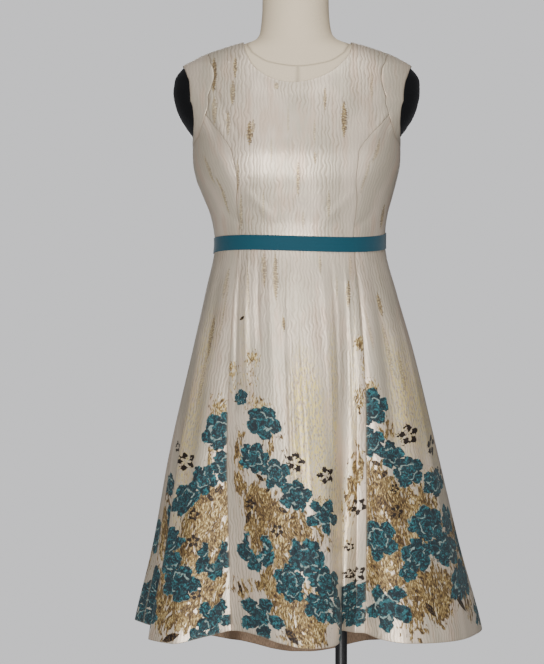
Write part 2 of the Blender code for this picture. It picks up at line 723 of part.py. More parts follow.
def make_stand(enamel):
    """A round base with a socket, the pole, and the flange that carries the torso."""
    bore = POLE_RADIUS + SEAM_GAP
    turned(
        "stand_base",
        (
            (0.0, 0.0), (BASE_RADIUS - BASE_EDGE, 0.0), (BASE_RADIUS, BASE_EDGE),
            (BASE_RADIUS, BASE_THICK - BASE_EDGE), (BASE_RADIUS - BASE_EDGE, BASE_THICK),
            (BOSS_RADIUS, BASE_THICK), (BOSS_RADIUS, BOSS_TOP - BASE_EDGE),
            (BOSS_RADIUS - BASE_EDGE, BOSS_TOP), (bore, BOSS_TOP), (bore, BASE_THICK), (0.0, BASE_THICK),
        ),
        enamel,
    )
    flange_top = FORM_BOTTOM - SEAM_GAP
    flange_bottom = flange_top - FLANGE_THICK
    turned(
        "stand_flange",
        (
            (0.0, flange_bottom), (FLANGE_RADIUS - BASE_EDGE, flange_bottom),
            (FLANGE_RADIUS, flange_bottom + BASE_EDGE), (FLANGE_RADIUS, flange_top), (0.0, flange_top),
        ),
        enamel,
    )
    pole_bottom, pole_top = BASE_THICK + SEAM_GAP, flange_bottom - SEAM_GAP
    turned(
        "stand_pole",
        ((0.0, pole_bottom), (POLE_RADIUS, pole_bottom), (POLE_RADIUS, pole_top), (0.0, pole_top)),
        enamel,
        24,
    )


def zip_frame():
    """At the zip's pin: X along the pin, Y down the back's surface, Z out of it."""
    surface = bodice_point(90.0, ZIP_HEIGHT, CLOTH)
    out = outward(form_point, 90.0, ZIP_HEIGHT)
    across = Vector((1.0, 0.0, 0.0))
    down = out.cross(across).normalized()
    place = Matrix.Translation(surface + out * (PIN_OUT + SEAM_GAP))
    return place @ Matrix((across, down, out)).transposed().to_4x4()


def bar_along_pin(mesh, radius, width, middle, segments):
    """A round bar along the pin's line."""
    made = bmesh.ops.create_cone(
        mesh, cap_ends=True, segments=segments, radius1=radius, radius2=radius, depth=width,
        matrix=Matrix.Translation((middle, 0.0, 0.0)) @ Matrix.Rotation(90 * DEGREE, 4, "Y"),
    )
    return made["verts"]


def helper(name, mesh, frame):
    """A hidden shape for a Boolean."""
    made = finish(name, mesh, None)
    made.data.transform(frame)
    made.hide_render = True
    made.display_type = "WIRE"
    return made


def block(mesh, size, middle):
    placed = Matrix.Translation(middle) @ Matrix.Diagonal((*size, 1.0))
    bmesh.ops.create_cube(mesh, size=1.0, matrix=placed)


def make_slider(frame, metal):
    """The zip's slider: a plate on the cloth, two ears and the pin between them."""
    plate = bmesh.new()
    block(plate, (SLIDER_WIDTH, SLIDER_LENGTH, SLIDER_THICK), (0.0, 0.0, SLIDER_THICK / 2 - PIN_OUT))
    slider = finish("zip_slider", plate, metal)
    slider.data.transform(frame)
    ear_x = SLIDER_WIDTH / 2 - EAR_WIDTH / 2
    ear_tall = PIN_OUT - SLIDER_THICK / 2
    for word, side in (("right", 1), ("left", -1)):
        ear = bmesh.new()
        block(ear, (EAR_WIDTH, 2 * EAR_RADIUS, ear_tall), (side * ear_x, 0.0, -ear_tall / 2))
        add_boolean(slider, "UNION", helper(f"zip_ear_{word}", ear, frame))
        head = bmesh.new()
        bar_along_pin(head, EAR_RADIUS * 1.03, EAR_WIDTH * 0.96, side * ear_x, 16)
        add_boolean(slider, "UNION", helper(f"zip_ear_head_{word}", head, frame))
    pin = bmesh.new()
    bar_along_pin(pin, PIN_RADIUS, SLIDER_WIDTH - EAR_WIDTH, 0.0, 12)
    add_boolean(slider, "UNION", helper("zip_pin", pin, frame))


def make_pull(frame, metal):
    """The zip's pull: an eye round the pin and a teardrop tab that lies down the back."""
    gap = SEAM_GAP
    eye_width = SLIDER_WIDTH - 2 * EAR_WIDTH - 2 * gap
    eye = bmesh.new()
    bar_along_pin(eye, EYE_RADIUS, eye_width, 0.0, 20)
    pull = finish("zip_pull", eye, metal)
    pull.data.transform(frame)
    tab = bmesh.new()
    outline = [(-TAB_TOP_WIDTH / 2, 0.0), (TAB_TOP_WIDTH / 2, 0.0)]
    end = TAB_LENGTH - TAB_WIDTH / 2
    for degrees in range(-20, 201, 20):
        x = math.cos(degrees * DEGREE) * TAB_WIDTH / 2
        outline.append((x, end + math.sin(degrees * DEGREE) * TAB_WIDTH / 2))
    low = EYE_RADIUS * -0.95
    face = tab.faces.new([tab.verts.new((x, y, low)) for x, y in outline])
    grown = bmesh.ops.extrude_face_region(tab, geom=[face])
    raised = [item for item in grown["geom"] if isinstance(item, bmesh.types.BMVert)]
    bmesh.ops.translate(tab, verts=raised, vec=(0.0, 0.0, TAB_THICK))
    add_boolean(pull, "UNION", helper("zip_tab", tab, frame))
    hole = bmesh.new()
    bar_along_pin(hole, EYE_HOLE, SLIDER_WIDTH, 0.0, 16)
    add_boolean(pull, "DIFFERENCE", helper("zip_eye_hole", hole, frame))


def make_material(name, colour, roughness, metallic=0.0):
    material = bpy.data.materials.new(name)
    material.use_nodes = True
    shader = material.node_tree.nodes["Principled BSDF"]
    shader.inputs["Base Color"].default_value = (*colour, 1.0)
    shader.inputs["Roughness"].default_value = roughness
    shader.inputs["Metallic"].default_value = metallic
    return material


def main():
    for old in list(bpy.data.objects):
        bpy.data.objects.remove(old)

    jacquard = make_material("jacquard", (0.62, 0.56, 0.50), 0.45)
    ribbon = make_material("ribbon", (0.02, 0.12, 0.15), 0.70)
    linen = make_material("linen", (0.58, 0.52, 0.44), 0.85)
    gloss = make_material("black_plates", (0.010, 0.010, 0.011), 0.15)
    enamel = make_material("black_enamel", (0.012, 0.012, 0.014), 0.40)
    metal = make_material("zip_metal", (0.55, 0.50, 0.40), 0.35, 1.0)

    make_front_centre(jacquard)
    for word, side, side_turn in (("right", 1, 0.0), ("left", -1, 180.0)):
        make_back_centre(word, side, side_turn, jacquard)
        make_side_panel("front", word, side, 360.0 if side > 0 else 180.0, jacquard)
        make_side_panel("back", word, side, side_turn, jacquard)
        make_armhole_band(word, side, jacquard)

    waist = PRINCESS_SEAMS[0]
    gores = (
        ("skirt_front_centre", waist.front_left, waist.front_right, 38),
        ("skirt_front_side_right", waist.front_right, 360.0, 16),
        ("skirt_front_side_left", 180.0, waist.front_left, 18),
        ("skirt_back_side_right", 0.0, waist.back_right, 12),
        ("skirt_back_side_left", waist.back_left, 180.0, 12),
        ("skirt_back_right", waist.back_right, 90.0, 12),
        ("skirt_back_left", 90.0, waist.back_left, 12),
    )
    for name, first, last, columns in gores:
        make_gore(name, first, last, columns, jacquard)
    make_waistband(gores, ribbon)

    make_form(linen, gloss)
    make_neck(linen)
    make_stand(enamel)
    frame = zip_frame()
    make_slider(frame, metal)
    make_pull(frame, metal)


main()
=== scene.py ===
# %% [markdown]
# # A brocade dress on a dress form
# The real object is a sleeveless dress, cut in panels from a woven brocade and worn by a padded form on
# a pole. Its solids come from the packed frame. This lesson makes each visible piece again on the form of
# its solid, as thin cloth with small creases, seams and a woven pattern. Every piece could be modelled by
# hand on the solid, but a few measured curves give both the same surface, so the curves come first.

import math
from collections import namedtuple

import bmesh
import bpy
import numpy as np
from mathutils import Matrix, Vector


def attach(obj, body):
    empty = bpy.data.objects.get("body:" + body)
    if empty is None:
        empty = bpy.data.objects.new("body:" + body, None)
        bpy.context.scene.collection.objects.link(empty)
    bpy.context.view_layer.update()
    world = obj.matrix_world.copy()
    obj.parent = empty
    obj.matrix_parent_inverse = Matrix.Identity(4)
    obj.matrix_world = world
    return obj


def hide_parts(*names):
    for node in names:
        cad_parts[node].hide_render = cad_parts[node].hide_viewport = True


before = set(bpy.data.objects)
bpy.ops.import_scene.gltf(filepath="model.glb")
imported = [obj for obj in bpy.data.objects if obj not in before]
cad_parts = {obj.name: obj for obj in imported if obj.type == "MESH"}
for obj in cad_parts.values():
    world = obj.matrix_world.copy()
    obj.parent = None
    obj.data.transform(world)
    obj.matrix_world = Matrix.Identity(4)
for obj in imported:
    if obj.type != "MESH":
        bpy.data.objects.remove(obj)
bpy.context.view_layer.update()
ROOT = "dress_and_form"
DEG = math.pi / 180

# %% [markdown]
# ## The camera
# The photo was taken level, from a few metres, so the picture has very little perspective. A lens is
# easier to set from the distance and the scale than by eye: 1.7 mm of the dress fills one picture point.

# %% Camera
PICTURE = (544, 664)
BODY_X = -0.070
METRES_PER_POINT = 0.0017
CAMERA_DISTANCE = 3.5
CAMERA_PLACE = (BODY_X - 0.0476, -CAMERA_DISTANCE, 0.912)
POINTS_PER_RADIAN = CAMERA_DISTANCE / METRES_PER_POINT

lens = bpy.data.cameras.new("camera")
lens.sensor_width = 36.0
lens.lens = POINTS_PER_RADIAN * 36.0 / PICTURE[1]
camera = bpy.data.objects.new("camera", lens)
camera.location = CAMERA_PLACE
camera.rotation_euler = (90 * DEG, 0.0, 0.0)
bpy.context.scene.collection.objects.link(camera)
bpy.context.scene.camera = camera
print("lens", round(lens.lens, 1), "mm")


def seen_at(points):
    """Where points of the model fall in the picture: across, down, and their depth."""
    x, y, z = (points[..., k] - CAMERA_PLACE[k] for k in range(3))
    return PICTURE[0] / 2 + POINTS_PER_RADIAN * x / y, PICTURE[1] / 2 - POINTS_PER_RADIAN * z / y, y


# %% [markdown]
# ## Smooth lines through short tables
# A body is easy to describe as sections at a few heights. A line between them should be smooth but never
# swing past a value, or the cloth would get bumps that no one made, so a monotone curve is used. The same
# rule, worked on whole arrays of points at once, gives thousands of points in a moment.


# %% Lines
class Line:
    """A smooth line through a few values that never swings past them. It can close on itself."""

    def __init__(self, stations, values, closed=False):
        stations, values = np.array(stations, float), np.array(values, float)
        if closed:
            winds = 360.0 if abs(values[-1] - values[0]) > 180 else 0.0
            stations = np.concatenate([stations - 360.0, stations, stations + 360.0])
            values = np.concatenate([values - winds, values, values + winds])
        gaps = np.diff(stations)
        rises = np.diff(values) / gaps
        before, after = rises[:-1], rises[1:]
        rising = before * after > 0
        total = np.where(rising, before + after, 1.0)
        inner = np.where(rising, 2 * before * after / total, 0.0)
        self.stations, self.values = stations, values
        self.slopes = np.concatenate([[rises[0]], inner, [rises[-1]]])

    def __call__(self, at):
        at = np.clip(at, self.stations[0], self.stations[-1])
        row = np.clip(np.searchsorted(self.stations, at, side="right") - 1, 0, len(self.stations) - 2)
        gap = self.stations[row + 1] - self.stations[row]
        t = (at - self.stations[row]) / gap
        start, end = self.values[row], self.values[row + 1]
        value = start * (1 + 2 * t) * (1 - t) ** 2 + end * t * t * (3 - 2 * t)
        return value + gap * t * (1 - t) * (self.slopes[row] * (1 - t) - self.slopes[row + 1] * t)


def lines_of(names, rows, closed=False):
    """One line for each named column of a table. The first column is the station."""
    columns = list(zip(*rows))
    return {name: Line(columns[0], column, closed) for name, column in zip(names.split(), columns[1:])}


# %% [markdown]
# ## The form's body
# Each section has a half width, a depth to the front and to the back, a squareness, a lean to one side and
# the ease of the cloth over it. A turn is the angle round the body: 0 at its side at +X, 90 at the back, 180
# at -X and 270 at the front.

# %% Form sections
CLOTH = 0.0015
FORM = lines_of("half front back square lean ease", (
    (0.800, 0.150, 0.103, 0.110, 2.1, 0.000, 0.0030), (0.830, 0.160, 0.109, 0.119, 2.1, 0.000, 0.0030),
    (0.890, 0.166, 0.114, 0.124, 2.1, 0.000, 0.0030), (0.960, 0.156, 0.111, 0.112, 2.1, 0.000, 0.0030),
    (1.020, 0.144, 0.106, 0.097, 2.2, 0.000, 0.0030), (1.062, 0.140, 0.103, 0.092, 2.2, 0.000, 0.0030),
    (1.088, 0.142, 0.107, 0.094, 2.3, -0.001, 0.0028), (1.113, 0.147, 0.115, 0.098, 2.4, -0.002, 0.0025),
    (1.143, 0.157, 0.125, 0.104, 2.5, -0.004, 0.0025), (1.174, 0.167, 0.133, 0.111, 2.6, -0.006, 0.0025),
    (1.200, 0.172, 0.135, 0.115, 2.6, -0.006, 0.0022), (1.235, 0.1735, 0.130, 0.118, 2.5, -0.006, 0.0018),
    (1.256, 0.186, 0.125, 0.119, 2.4, -0.006, 0.0014), (1.276, 0.1980, 0.119, 0.118, 2.3, -0.006, 0.0020),
    (1.296, 0.2052, 0.113, 0.116, 2.2, -0.006, 0.0020), (1.317, 0.2088, 0.105, 0.113, 2.2, -0.006, 0.0018),
    (1.337, 0.2075, 0.097, 0.109, 2.1, -0.005, 0.0024), (1.3575, 0.1950, 0.088, 0.103, 2.0, -0.005, 0.0028),
    (1.368, 0.1770, 0.083, 0.099, 2.0, -0.004, 0.0028), (1.378, 0.1580, 0.078, 0.095, 2.0, -0.004, 0.0026),
    (1.3915, 0.1190, 0.072, 0.088, 2.0, -0.004, 0.0024), (1.400, 0.0900, 0.068, 0.080, 2.0, -0.005, 0.0022),
    (1.4085, 0.0690, 0.065, 0.072, 2.0, -0.006, 0.0014),
    (1.4187, 0.0615, 0.063, 0.066, 2.0, -0.007, 0.0014),
    (1.439, 0.0580, 0.062, 0.059, 2.0, -0.0075, 0.0014),
    (1.4595, 0.0566, 0.062, 0.055, 2.0, -0.0075, 0.0014),
    (1.500, 0.0560, 0.064, 0.050, 2.0, -0.0075, 0.0014),
))
NECK_SEAM = lines_of("height", (
    (0.0, 1.4075), (90.0, 1.4130), (180.0, 1.4075), (217.4, 1.3946), (232.6, 1.3862), (242.8, 1.3758),
    (256.6, 1.3595), (270.0, 1.3529), (283.4, 1.3595), (297.2, 1.3758), (307.4, 1.3862), (322.6, 1.3946),
), closed=True)["height"]


def oval(turn, right, left, front, back, square):
    """A superellipse about the middle, with four unlike radii."""
    c, s = np.cos(turn * DEG), np.sin(turn * DEG)
    across, deep = np.abs(c) ** (2 / square), np.abs(s) ** (2 / square)
    return np.where(c > 0, right, -left) * across, np.where(s > 0, back, -front) * deep


def form_point(turn, height):
    half = FORM["half"](height)
    x, y = oval(turn, half, half, FORM["front"](height), FORM["back"](height), FORM["square"](height))
    return np.stack([BODY_X + FORM["lean"](height) + x, y, height + 0 * turn], axis=-1)


def unit(vectors):
    return vectors / np.linalg.norm(vectors, axis=-1, keepdims=True)


def outward(surface, turn, along, turn_step=0.5, along_step=0.002):
    """The outward normal of a surface whose second input runs up the body."""
    round_it = surface(turn + turn_step, along) - surface(turn - turn_step, along)
    up_it = surface(turn, along + along_step) - surface(turn, along - along_step)
    return unit(np.cross(round_it, up_it))


def reached_along(points):
    """How far along a line of points each of them lies."""
    steps = np.linalg.norm(np.diff(points, axis=0), axis=-1)
    return np.concatenate([[0.0], np.cumsum(steps)])


BUST_HEIGHT = 1.2
bust = form_point(np.arange(0.0, 361.0, 2.0), np.full(181, BUST_HEIGHT))
print("bust round the form", round(reached_along(bust)[-1], 3), "m")

# %% [markdown]
# ## The waist and the bodice's surface
# The waist seam tilts and waves a little, as it does on a dress that is pulled on by hand. The bodice lies
# a few millimetres out from the form. Near the seam its thickness is measured level, so that it meets the
# skirt edge to edge.

# %% Bodice surface
WAIST_HEIGHT = 1.0630
WAIST_TILT = 0.0048
WAIST_DIP = 0.0050
WAIST_WAVE = 0.0050
LEVEL_REACH = 0.020


def waist_height(turn):
    wave = WAIST_WAVE * np.sin(2 * turn * DEG)
    return WAIST_HEIGHT + WAIST_TILT * np.cos(turn * DEG) + WAIST_DIP * np.sin(turn * DEG) + wave


def levelled(normals, turn, height):
    near = np.minimum(1.0, np.abs(height - waist_height(turn)) / LEVEL_REACH)
    return unit(normals * np.stack([np.ones_like(near), np.ones_like(near), near], axis=-1))


def bodice_point(turn, height, out):
    normals = levelled(outward(form_point, turn, height), turn, height)
    return form_point(turn, height) + normals * (FORM["ease"](height) + out)[..., None]


# %% [markdown]
# ## The skirt's surface
# A skirt could be draped by a simulation, but the folds of this one are known from the photo. So each fold
# is a row of a table: where it leaves the waist, where it reaches the hem, how far out it stands and how
# low it hangs.

# %% Skirt surface
SKIRT = lines_of("right left front back square", (
    (0.320, 0.326, 0.302, 0.235, 0.262, 2.0), (0.420, 0.307, 0.283, 0.219, 0.245, 2.0),
    (0.550, 0.271, 0.252, 0.194, 0.219, 2.0), (0.700, 0.236, 0.225, 0.168, 0.189, 2.0),
    (0.880, 0.193, 0.184, 0.139, 0.153, 2.1), (0.980, 0.164, 0.161, 0.123, 0.127, 2.2),
    (1.055, 0.1449, 0.1449, 0.1080, 0.0968, 2.2), (1.062, 0.1445, 0.1445, 0.1075, 0.0965, 2.2),
    (1.072, 0.1450, 0.1450, 0.1084, 0.0968, 2.2),
))
FOLDS = lines_of("hem_turn reach hem", (
    (0.0, -2.0, 1.000, 0.410), (8.0, 9.0, 1.010, 0.406), (20.0, 25.0, 0.930, 0.399),
    (32.0, 40.0, 1.050, 0.383), (42.0, 52.0, 0.970, 0.368), (48.0, 58.0, 0.900, 0.361),
    (58.0, 69.0, 1.040, 0.350), (72.0, 79.0, 0.930, 0.337), (84.0, 86.5, 1.000, 0.329),
    (96.0, 91.5, 1.000, 0.329), (108.0, 99.0, 0.930, 0.337), (122.0, 109.0, 1.040, 0.349),
    (132.0, 120.0, 0.900, 0.362), (138.0, 127.0, 0.970, 0.370), (148.0, 140.0, 1.050, 0.385),
    (160.0, 155.0, 0.930, 0.402), (174.0, 172.0, 1.010, 0.419), (180.0, 180.0, 0.940, 0.417),
    (190.7, 196.7, 0.820, 0.412), (201.3, 210.3, 1.015, 0.406), (210.8, 224.3, 1.033, 0.406),
    (219.7, 233.6, 0.913, 0.418), (226.0, 239.9, 0.806, 0.426), (231.6, 245.9, 0.840, 0.427),
    (242.0, 255.3, 0.938, 0.424), (252.0, 263.0, 1.040, 0.417), (264.0, 272.1, 1.094, 0.410),
    (276.0, 280.0, 0.992, 0.411), (292.0, 288.3, 0.700, 0.425), (301.5, 289.6, 0.848, 0.426),
    (306.0, 293.8, 0.839, 0.424), (310.5, 295.4, 0.950, 0.418), (318.5, 302.0, 1.060, 0.412),
    (336.0, 324.0, 1.035, 0.408), (349.0, 343.0, 1.000, 0.409),
), closed=True)
FOLD_GROWTH = 1.5


def skirt_face(turn, rise):
    """The skirt's outer face. rise is 0 at the waist and -1 at the hem."""
    drop = -rise
    height = waist_height(turn) * (1 - drop) + FOLDS["hem"](turn) * drop
    oval_turn = turn * (1 - drop) + FOLDS["hem_turn"](turn) * drop
    reach = 1 + (FOLDS["reach"](turn) - 1) * np.maximum(drop, 0.0) ** FOLD_GROWTH
    radii = [SKIRT[name](height) for name in ("right", "left", "front", "back", "square")]
    x, y = oval(oval_turn, *radii)
    return np.stack([BODY_X + x * reach, y * reach, height], axis=-1)


# %% [markdown]
# ## Small creases
# Cloth that is worn is never as clean as its pattern. A crease is a soft ridge or trough along a line. On
# the skirt the line joins two turns; on the bodice it joins two points seen from the front or the back.
# They are placed unevenly, and fade at both ends.

# %% Creases
SkirtCrease = namedtuple("SkirtCrease", "turn_high drop_high turn_low drop_low width lift")
SKIRT_CREASES = [SkirtCrease(*row) for row in (
    (229, 0.02, 231, 0.45, 1.6, -0.0022), (235, 0.02, 238, 0.38, 2.0, 0.0020),
    (243, 0.02, 246, 0.30, 1.8, -0.0016), (252, 0.03, 254, 0.42, 2.6, 0.0016),
    (262, 0.10, 260, 0.98, 1.1, -0.0026), (265, 0.08, 267, 0.80, 3.4, -0.0036),
    (268, 0.20, 270, 0.90, 1.6, 0.0020), (281, 0.05, 284, 0.60, 2.2, 0.0018),
    (287, 0.03, 289, 0.50, 1.5, -0.0018), (296, 0.10, 297, 0.97, 6.4, -0.0098),
    (297, 0.03, 298, 0.50, 1.4, 0.0018), (306, 0.02, 306, 0.40, 1.4, -0.0018),
    (320, 0.04, 321, 0.82, 6.2, -0.0070), (341, 0.05, 340, 0.90, 3.0, 0.0018),
    (209, 0.05, 206, 0.90, 5.5, -0.0060), (196, 0.10, 194, 0.90, 2.2, 0.0020),
    (355, 0.04, 357, 0.65, 2.6, -0.0020), (12, 0.05, 15, 0.75, 2.6, 0.0018),
    (27, 0.04, 30, 0.60, 2.0, -0.0020), (40, 0.03, 42, 0.45, 1.8, 0.0018),
    (53, 0.03, 55, 0.55, 2.2, -0.0020), (66, 0.04, 68, 0.90, 2.0, 0.0020),
    (79, 0.04, 80, 0.60, 1.8, -0.0018), (99, 0.04, 100, 0.70, 1.9, 0.0018),
    (113, 0.03, 114, 0.90, 2.1, -0.0022), (127, 0.03, 126, 0.50, 1.8, 0.0018),
    (141, 0.04, 143, 0.75, 2.2, -0.0020), (154, 0.05, 156, 0.65, 2.4, 0.0018),
    (168, 0.05, 170, 0.90, 2.6, -0.0022),
)]
FACE_BLEND = 0.03
BodiceCrease = namedtuple("BodiceCrease", "face x_from z_from x_to z_to width lift")
BODICE_CREASES = [BodiceCrease(*row) for row in (
    (-1, -0.160, 1.318, -0.118, 1.212, 0.0050, 0.0013), (-1, -0.150, 1.322, -0.100, 1.232, 0.0045, -0.0012),
    (-1, -0.168, 1.300, -0.132, 1.205, 0.0045, -0.0011), (-1, -0.158, 1.262, -0.112, 1.158, 0.0060, 0.0012),
    (-1, 0.156, 1.312, 0.118, 1.222, 0.0050, 0.0012), (-1, 0.160, 1.294, 0.128, 1.198, 0.0045, -0.0011),
    (-1, -0.096, 1.150, -0.040, 1.092, 0.0075, 0.0012), (-1, 0.092, 1.148, 0.036, 1.090, 0.0075, 0.0011),
    (-1, -0.130, 1.120, -0.092, 1.084, 0.0060, -0.0012), (-1, 0.128, 1.116, 0.088, 1.082, 0.0060, -0.0012),
    (-1, -0.060, 1.352, -0.092, 1.290, 0.0090, 0.0009), (-1, 0.064, 1.350, 0.088, 1.284, 0.0090, 0.0009),
    (1, -0.150, 1.316, -0.096, 1.222, 0.0060, 0.0014), (1, 0.150, 1.314, 0.100, 1.226, 0.0060, 0.0014),
    (1, -0.164, 1.286, -0.120, 1.196, 0.0050, -0.0012), (1, 0.162, 1.288, 0.116, 1.190, 0.0050, -0.0012),
    (1, -0.108, 1.140, -0.030, 1.094, 0.0080, -0.0015), (1, 0.104, 1.136, 0.026, 1.090, 0.0080, -0.0015),
    (1, -0.092, 1.112, -0.024, 1.082, 0.0060, 0.0014), (1, 0.096, 1.114, 0.030, 1.080, 0.0060, 0.0014),
)]


def faded(share):
    """1 along a crease, falling softly to 0 at its ends."""
    t = np.clip(share, 0.0, 1.0)
    return np.where((share > 0) & (share < 1), np.sin(math.pi * t) ** 0.7, 0.0)


def skirt_lift(turn, drop):
    lift = np.zeros_like(drop)
    for crease in SKIRT_CREASES:
        share = (drop - crease.drop_high) / (crease.drop_low - crease.drop_high)
        line = crease.turn_high + (crease.turn_low - crease.turn_high) * share
        away = (turn - line + 180.0) % 360.0 - 180.0
        lift += crease.lift * np.exp(-((away / crease.width) ** 2)) * faded(share)
    return lift


def bodice_lift(points):
    lift = np.zeros(points.shape[:-1])
    x, y, z = points[..., 0] - BODY_X, points[..., 1], points[..., 2]
    for crease in BODICE_CREASES:
        run_x, run_z = crease.x_to - crease.x_from, crease.z_to - crease.z_from
        length = math.hypot(run_x, run_z)
        share = ((x - crease.x_from) * run_x + (z - crease.z_from) * run_z) / length**2
        away = ((x - crease.x_from) * run_z - (z - crease.z_from) * run_x) / length
        on_face = np.clip(y * crease.face / FACE_BLEND, 0.0, 1.0)
        lift += crease.lift * np.exp(-((away / crease.width) ** 2)) * faded(share) * on_face
    return lift


def skirt_point(turn, drop, out):
    """A point of the skirt, out from its inner face. drop is 0 at the waist and 1 at the hem."""
    face = skirt_face(turn, -drop)
    normals = levelled(outward(skirt_face, turn, -drop), turn, face[..., 2])
    return face + normals * (out - CLOTH + skirt_lift(turn, drop))[..., None]


print(len(SKIRT_CREASES), "creases on the skirt and", len(BODICE_CREASES), "on the bodice")

# %% [markdown]
# ## Seams and edges of the bodice
# The armhole seams are ovals seen from the side. The princess seams run from the waist to them. A panel is
# the patch of the body between four such edges.

# %% Bodice edges
Loop = namedtuple("Loop", "middle half_height half_depth low_spread")
ARMHOLE_EDGE = Loop(1.2975, 0.0625, 0.0640, 0.45)
ARMHOLE_SEAM = Loop(1.3020, 0.0800, 0.0830, 0.30)
PRINCESS_LOOP_ANGLE = -22.0
PRINCESS = {
    "front_right": ((1.0624, 306.0), (1.1200, 304.6), (1.1720, 299.4), (1.2045, 299.4), (1.2400, 309.9)),
    "front_left": ((1.0624, 226.0), (1.1200, 230.9), (1.1720, 239.3), (1.2045, 237.8), (1.2400, 228.5)),
    "back_right": ((1.0624, 48.0), (1.1200, 49.0), (1.1720, 51.0), (1.2045, 51.0), (1.2400, 46.0)),
    "back_left": ((1.0624, 132.0), (1.1200, 131.0), (1.1720, 129.0), (1.2045, 129.0), (1.2400, 134.0)),
}
NECK_POINT = 1.4000
NECK_HALF_WIDTH = 0.090
NECK_DROP = {"front": 0.0764, "back": 0.0140}
NECK_SKEW = {"front": 0.0030, "back": 0.0}


def loop_places(loop, side, angles):
    """Rows of (turn, height) round an armhole. An angle is 0 at its front and 90 at its top."""
    angles = np.asarray(angles, float)
    heights = loop.middle + loop.half_height * np.sin(angles * DEG)
    low = np.maximum(0.0, -np.sin(angles * DEG))
    depths = loop.half_depth * np.cos(angles * DEG) * (1 + loop.low_spread * low)
    reach = np.where(depths > 0, FORM["front"](heights), FORM["back"](heights))
    share = np.minimum(1.0, (np.abs(depths) / reach) ** (FORM["square"](heights) / 2))
    swing = np.copysign(np.arcsin(share) / DEG, depths)
    return np.stack([360.0 - swing if side > 0 else 180.0 + swing, heights], axis=-1)


def near_turn(places, turn):
    """The places with their turns moved by whole rounds to lie near the one given."""
    moved = np.array(places, float)
    moved[..., 0] -= 360.0 * np.round((moved[..., 0] - turn) / 360.0)
    return moved


def seam_places(name, side, angle, rows):
    """A princess seam from the waist to the armhole seam."""
    lower = PRINCESS[name]
    top = near_turn(loop_places(ARMHOLE_SEAM, side, [angle]), lower[-1][1])[0]
    line = Line([row[0] for row in lower] + [top[1]], [row[1] for row in lower] + [top[0]])
    heights = np.linspace(waist_height(lower[0][1]), top[1], rows + 1)
    return np.stack([line(heights), heights], axis=-1)


def arc_angles(rows):
    """Angles up an armhole seam from the princess seam to the shoulder, closer near the shoulder."""
    return PRINCESS_LOOP_ANGLE + (90.0 - PRINCESS_LOOP_ANGLE) * np.sin(np.linspace(0, math.pi / 2, rows + 1))


def upright_places(turn, low, high, rows):
    heights = np.linspace(low, high, rows + 1)
    return np.stack([np.full(rows + 1, float(turn)), heights], axis=-1)


def neck_places(side, face, columns):
    """The neckline from the shoulder to the middle, at even distances."""
    angles = np.linspace(0.0, 90.0, 1500) * DEG
    heights = NECK_POINT - NECK_DROP[face] * np.sin(angles) + side * NECK_SKEW[face] * np.sin(2 * angles)
    across = np.minimum(1.0, NECK_HALF_WIDTH * np.cos(angles) / FORM["half"](heights))
    swing = np.arccos(across ** (FORM["square"](heights) / 2)) / DEG
    swing = -swing if face == "front" else swing
    turns = swing if side > 0 else 180.0 - swing
    places = np.stack([turns, heights], axis=-1)
    reached = reached_along(form_point(turns, heights))
    wanted = np.linspace(0.0, reached[-1], columns + 1)
    return np.stack([np.interp(wanted, reached, places[:, k]) for k in (0, 1)], axis=-1)


def waist_places(first, last, columns):
    turns = np.linspace(first, last, columns + 1)
    return np.stack([turns, waist_height(turns)], axis=-1)


armhole = form_point(*loop_places(ARMHOLE_SEAM, 1, np.arange(361.0)).T)
print("armhole seam", round(reached_along(armhole)[-1], 3), "m round")

# %% [markdown]
# ## Patches of the body
# A pattern cutter drapes paper on the form between the seams. Here the four edges are blended across the
# patch, and each point is then brought to the nearest place of the form's surface, in a few short steps.

# %% Patches of the body
SLOPE_STEP = 0.0005
NEARING_STEPS = 6


def body_shares(points):
    """How far out points are, as shares of the form's half width and depth, and its squareness there."""
    x, y, z = points[..., 0], points[..., 1], points[..., 2]
    reach = np.where(y > 0, FORM["back"](z), FORM["front"](z))
    return (x - BODY_X - FORM["lean"](z)) / FORM["half"](z), y / reach, FORM["square"](z)


def fullness(points):
    """1 on the form's surface, less inside it and more outside."""
    across, deep, square = body_shares(points)
    return np.abs(across) ** square + np.abs(deep) ** square


def nearest_places(points):
    """The (turn, height) of the form's surface nearest to each point."""
    for _ in range(NEARING_STEPS):
        rises = [fullness(points + axis) - fullness(points - axis) for axis in np.eye(3) * SLOPE_STEP]
        slopes = np.stack(rises, axis=-1) / (2 * SLOPE_STEP)
        level = (fullness(points) - 1) / (slopes**2).sum(axis=-1)
        points = points - slopes * level[..., None]
    *sides, square = body_shares(points)
    across, deep = (np.copysign(np.abs(side) ** (square / 2), side) for side in sides)
    return np.arctan2(deep, across) / DEG, points[..., 2]


def shares_along(points):
    reached = reached_along(points)
    return reached / reached[-1]


def patch_places(bottom, top, start, end):
    """Places that fill four edges. bottom and top run the same way, and so do start and end."""
    bottom, top, start, end = (form_point(edge[:, 0], edge[:, 1]) for edge in (bottom, top, start, end))
    low, high = shares_along(bottom)[None, :], shares_along(top)[None, :]
    left, right = shares_along(start)[:, None], shares_along(end)[:, None]
    u = low + (high - low) * left
    v = left + (right - left) * u
    u, v = u[..., None], v[..., None]
    edges = bottom[None] * (1 - v) + top[None] * v + start[:, None] * (1 - u) + end[:, None] * u
    corners = (bottom[0] * (1 - u) + bottom[-1] * u) * (1 - v) + (top[0] * (1 - u) + top[-1] * u) * v
    return nearest_places(edges - corners)


test_place = nearest_places(form_point(np.array([300.0]), np.array([1.15])))
print("a point of the form is found again at", [round(float(value[0]), 3) for value in test_place])

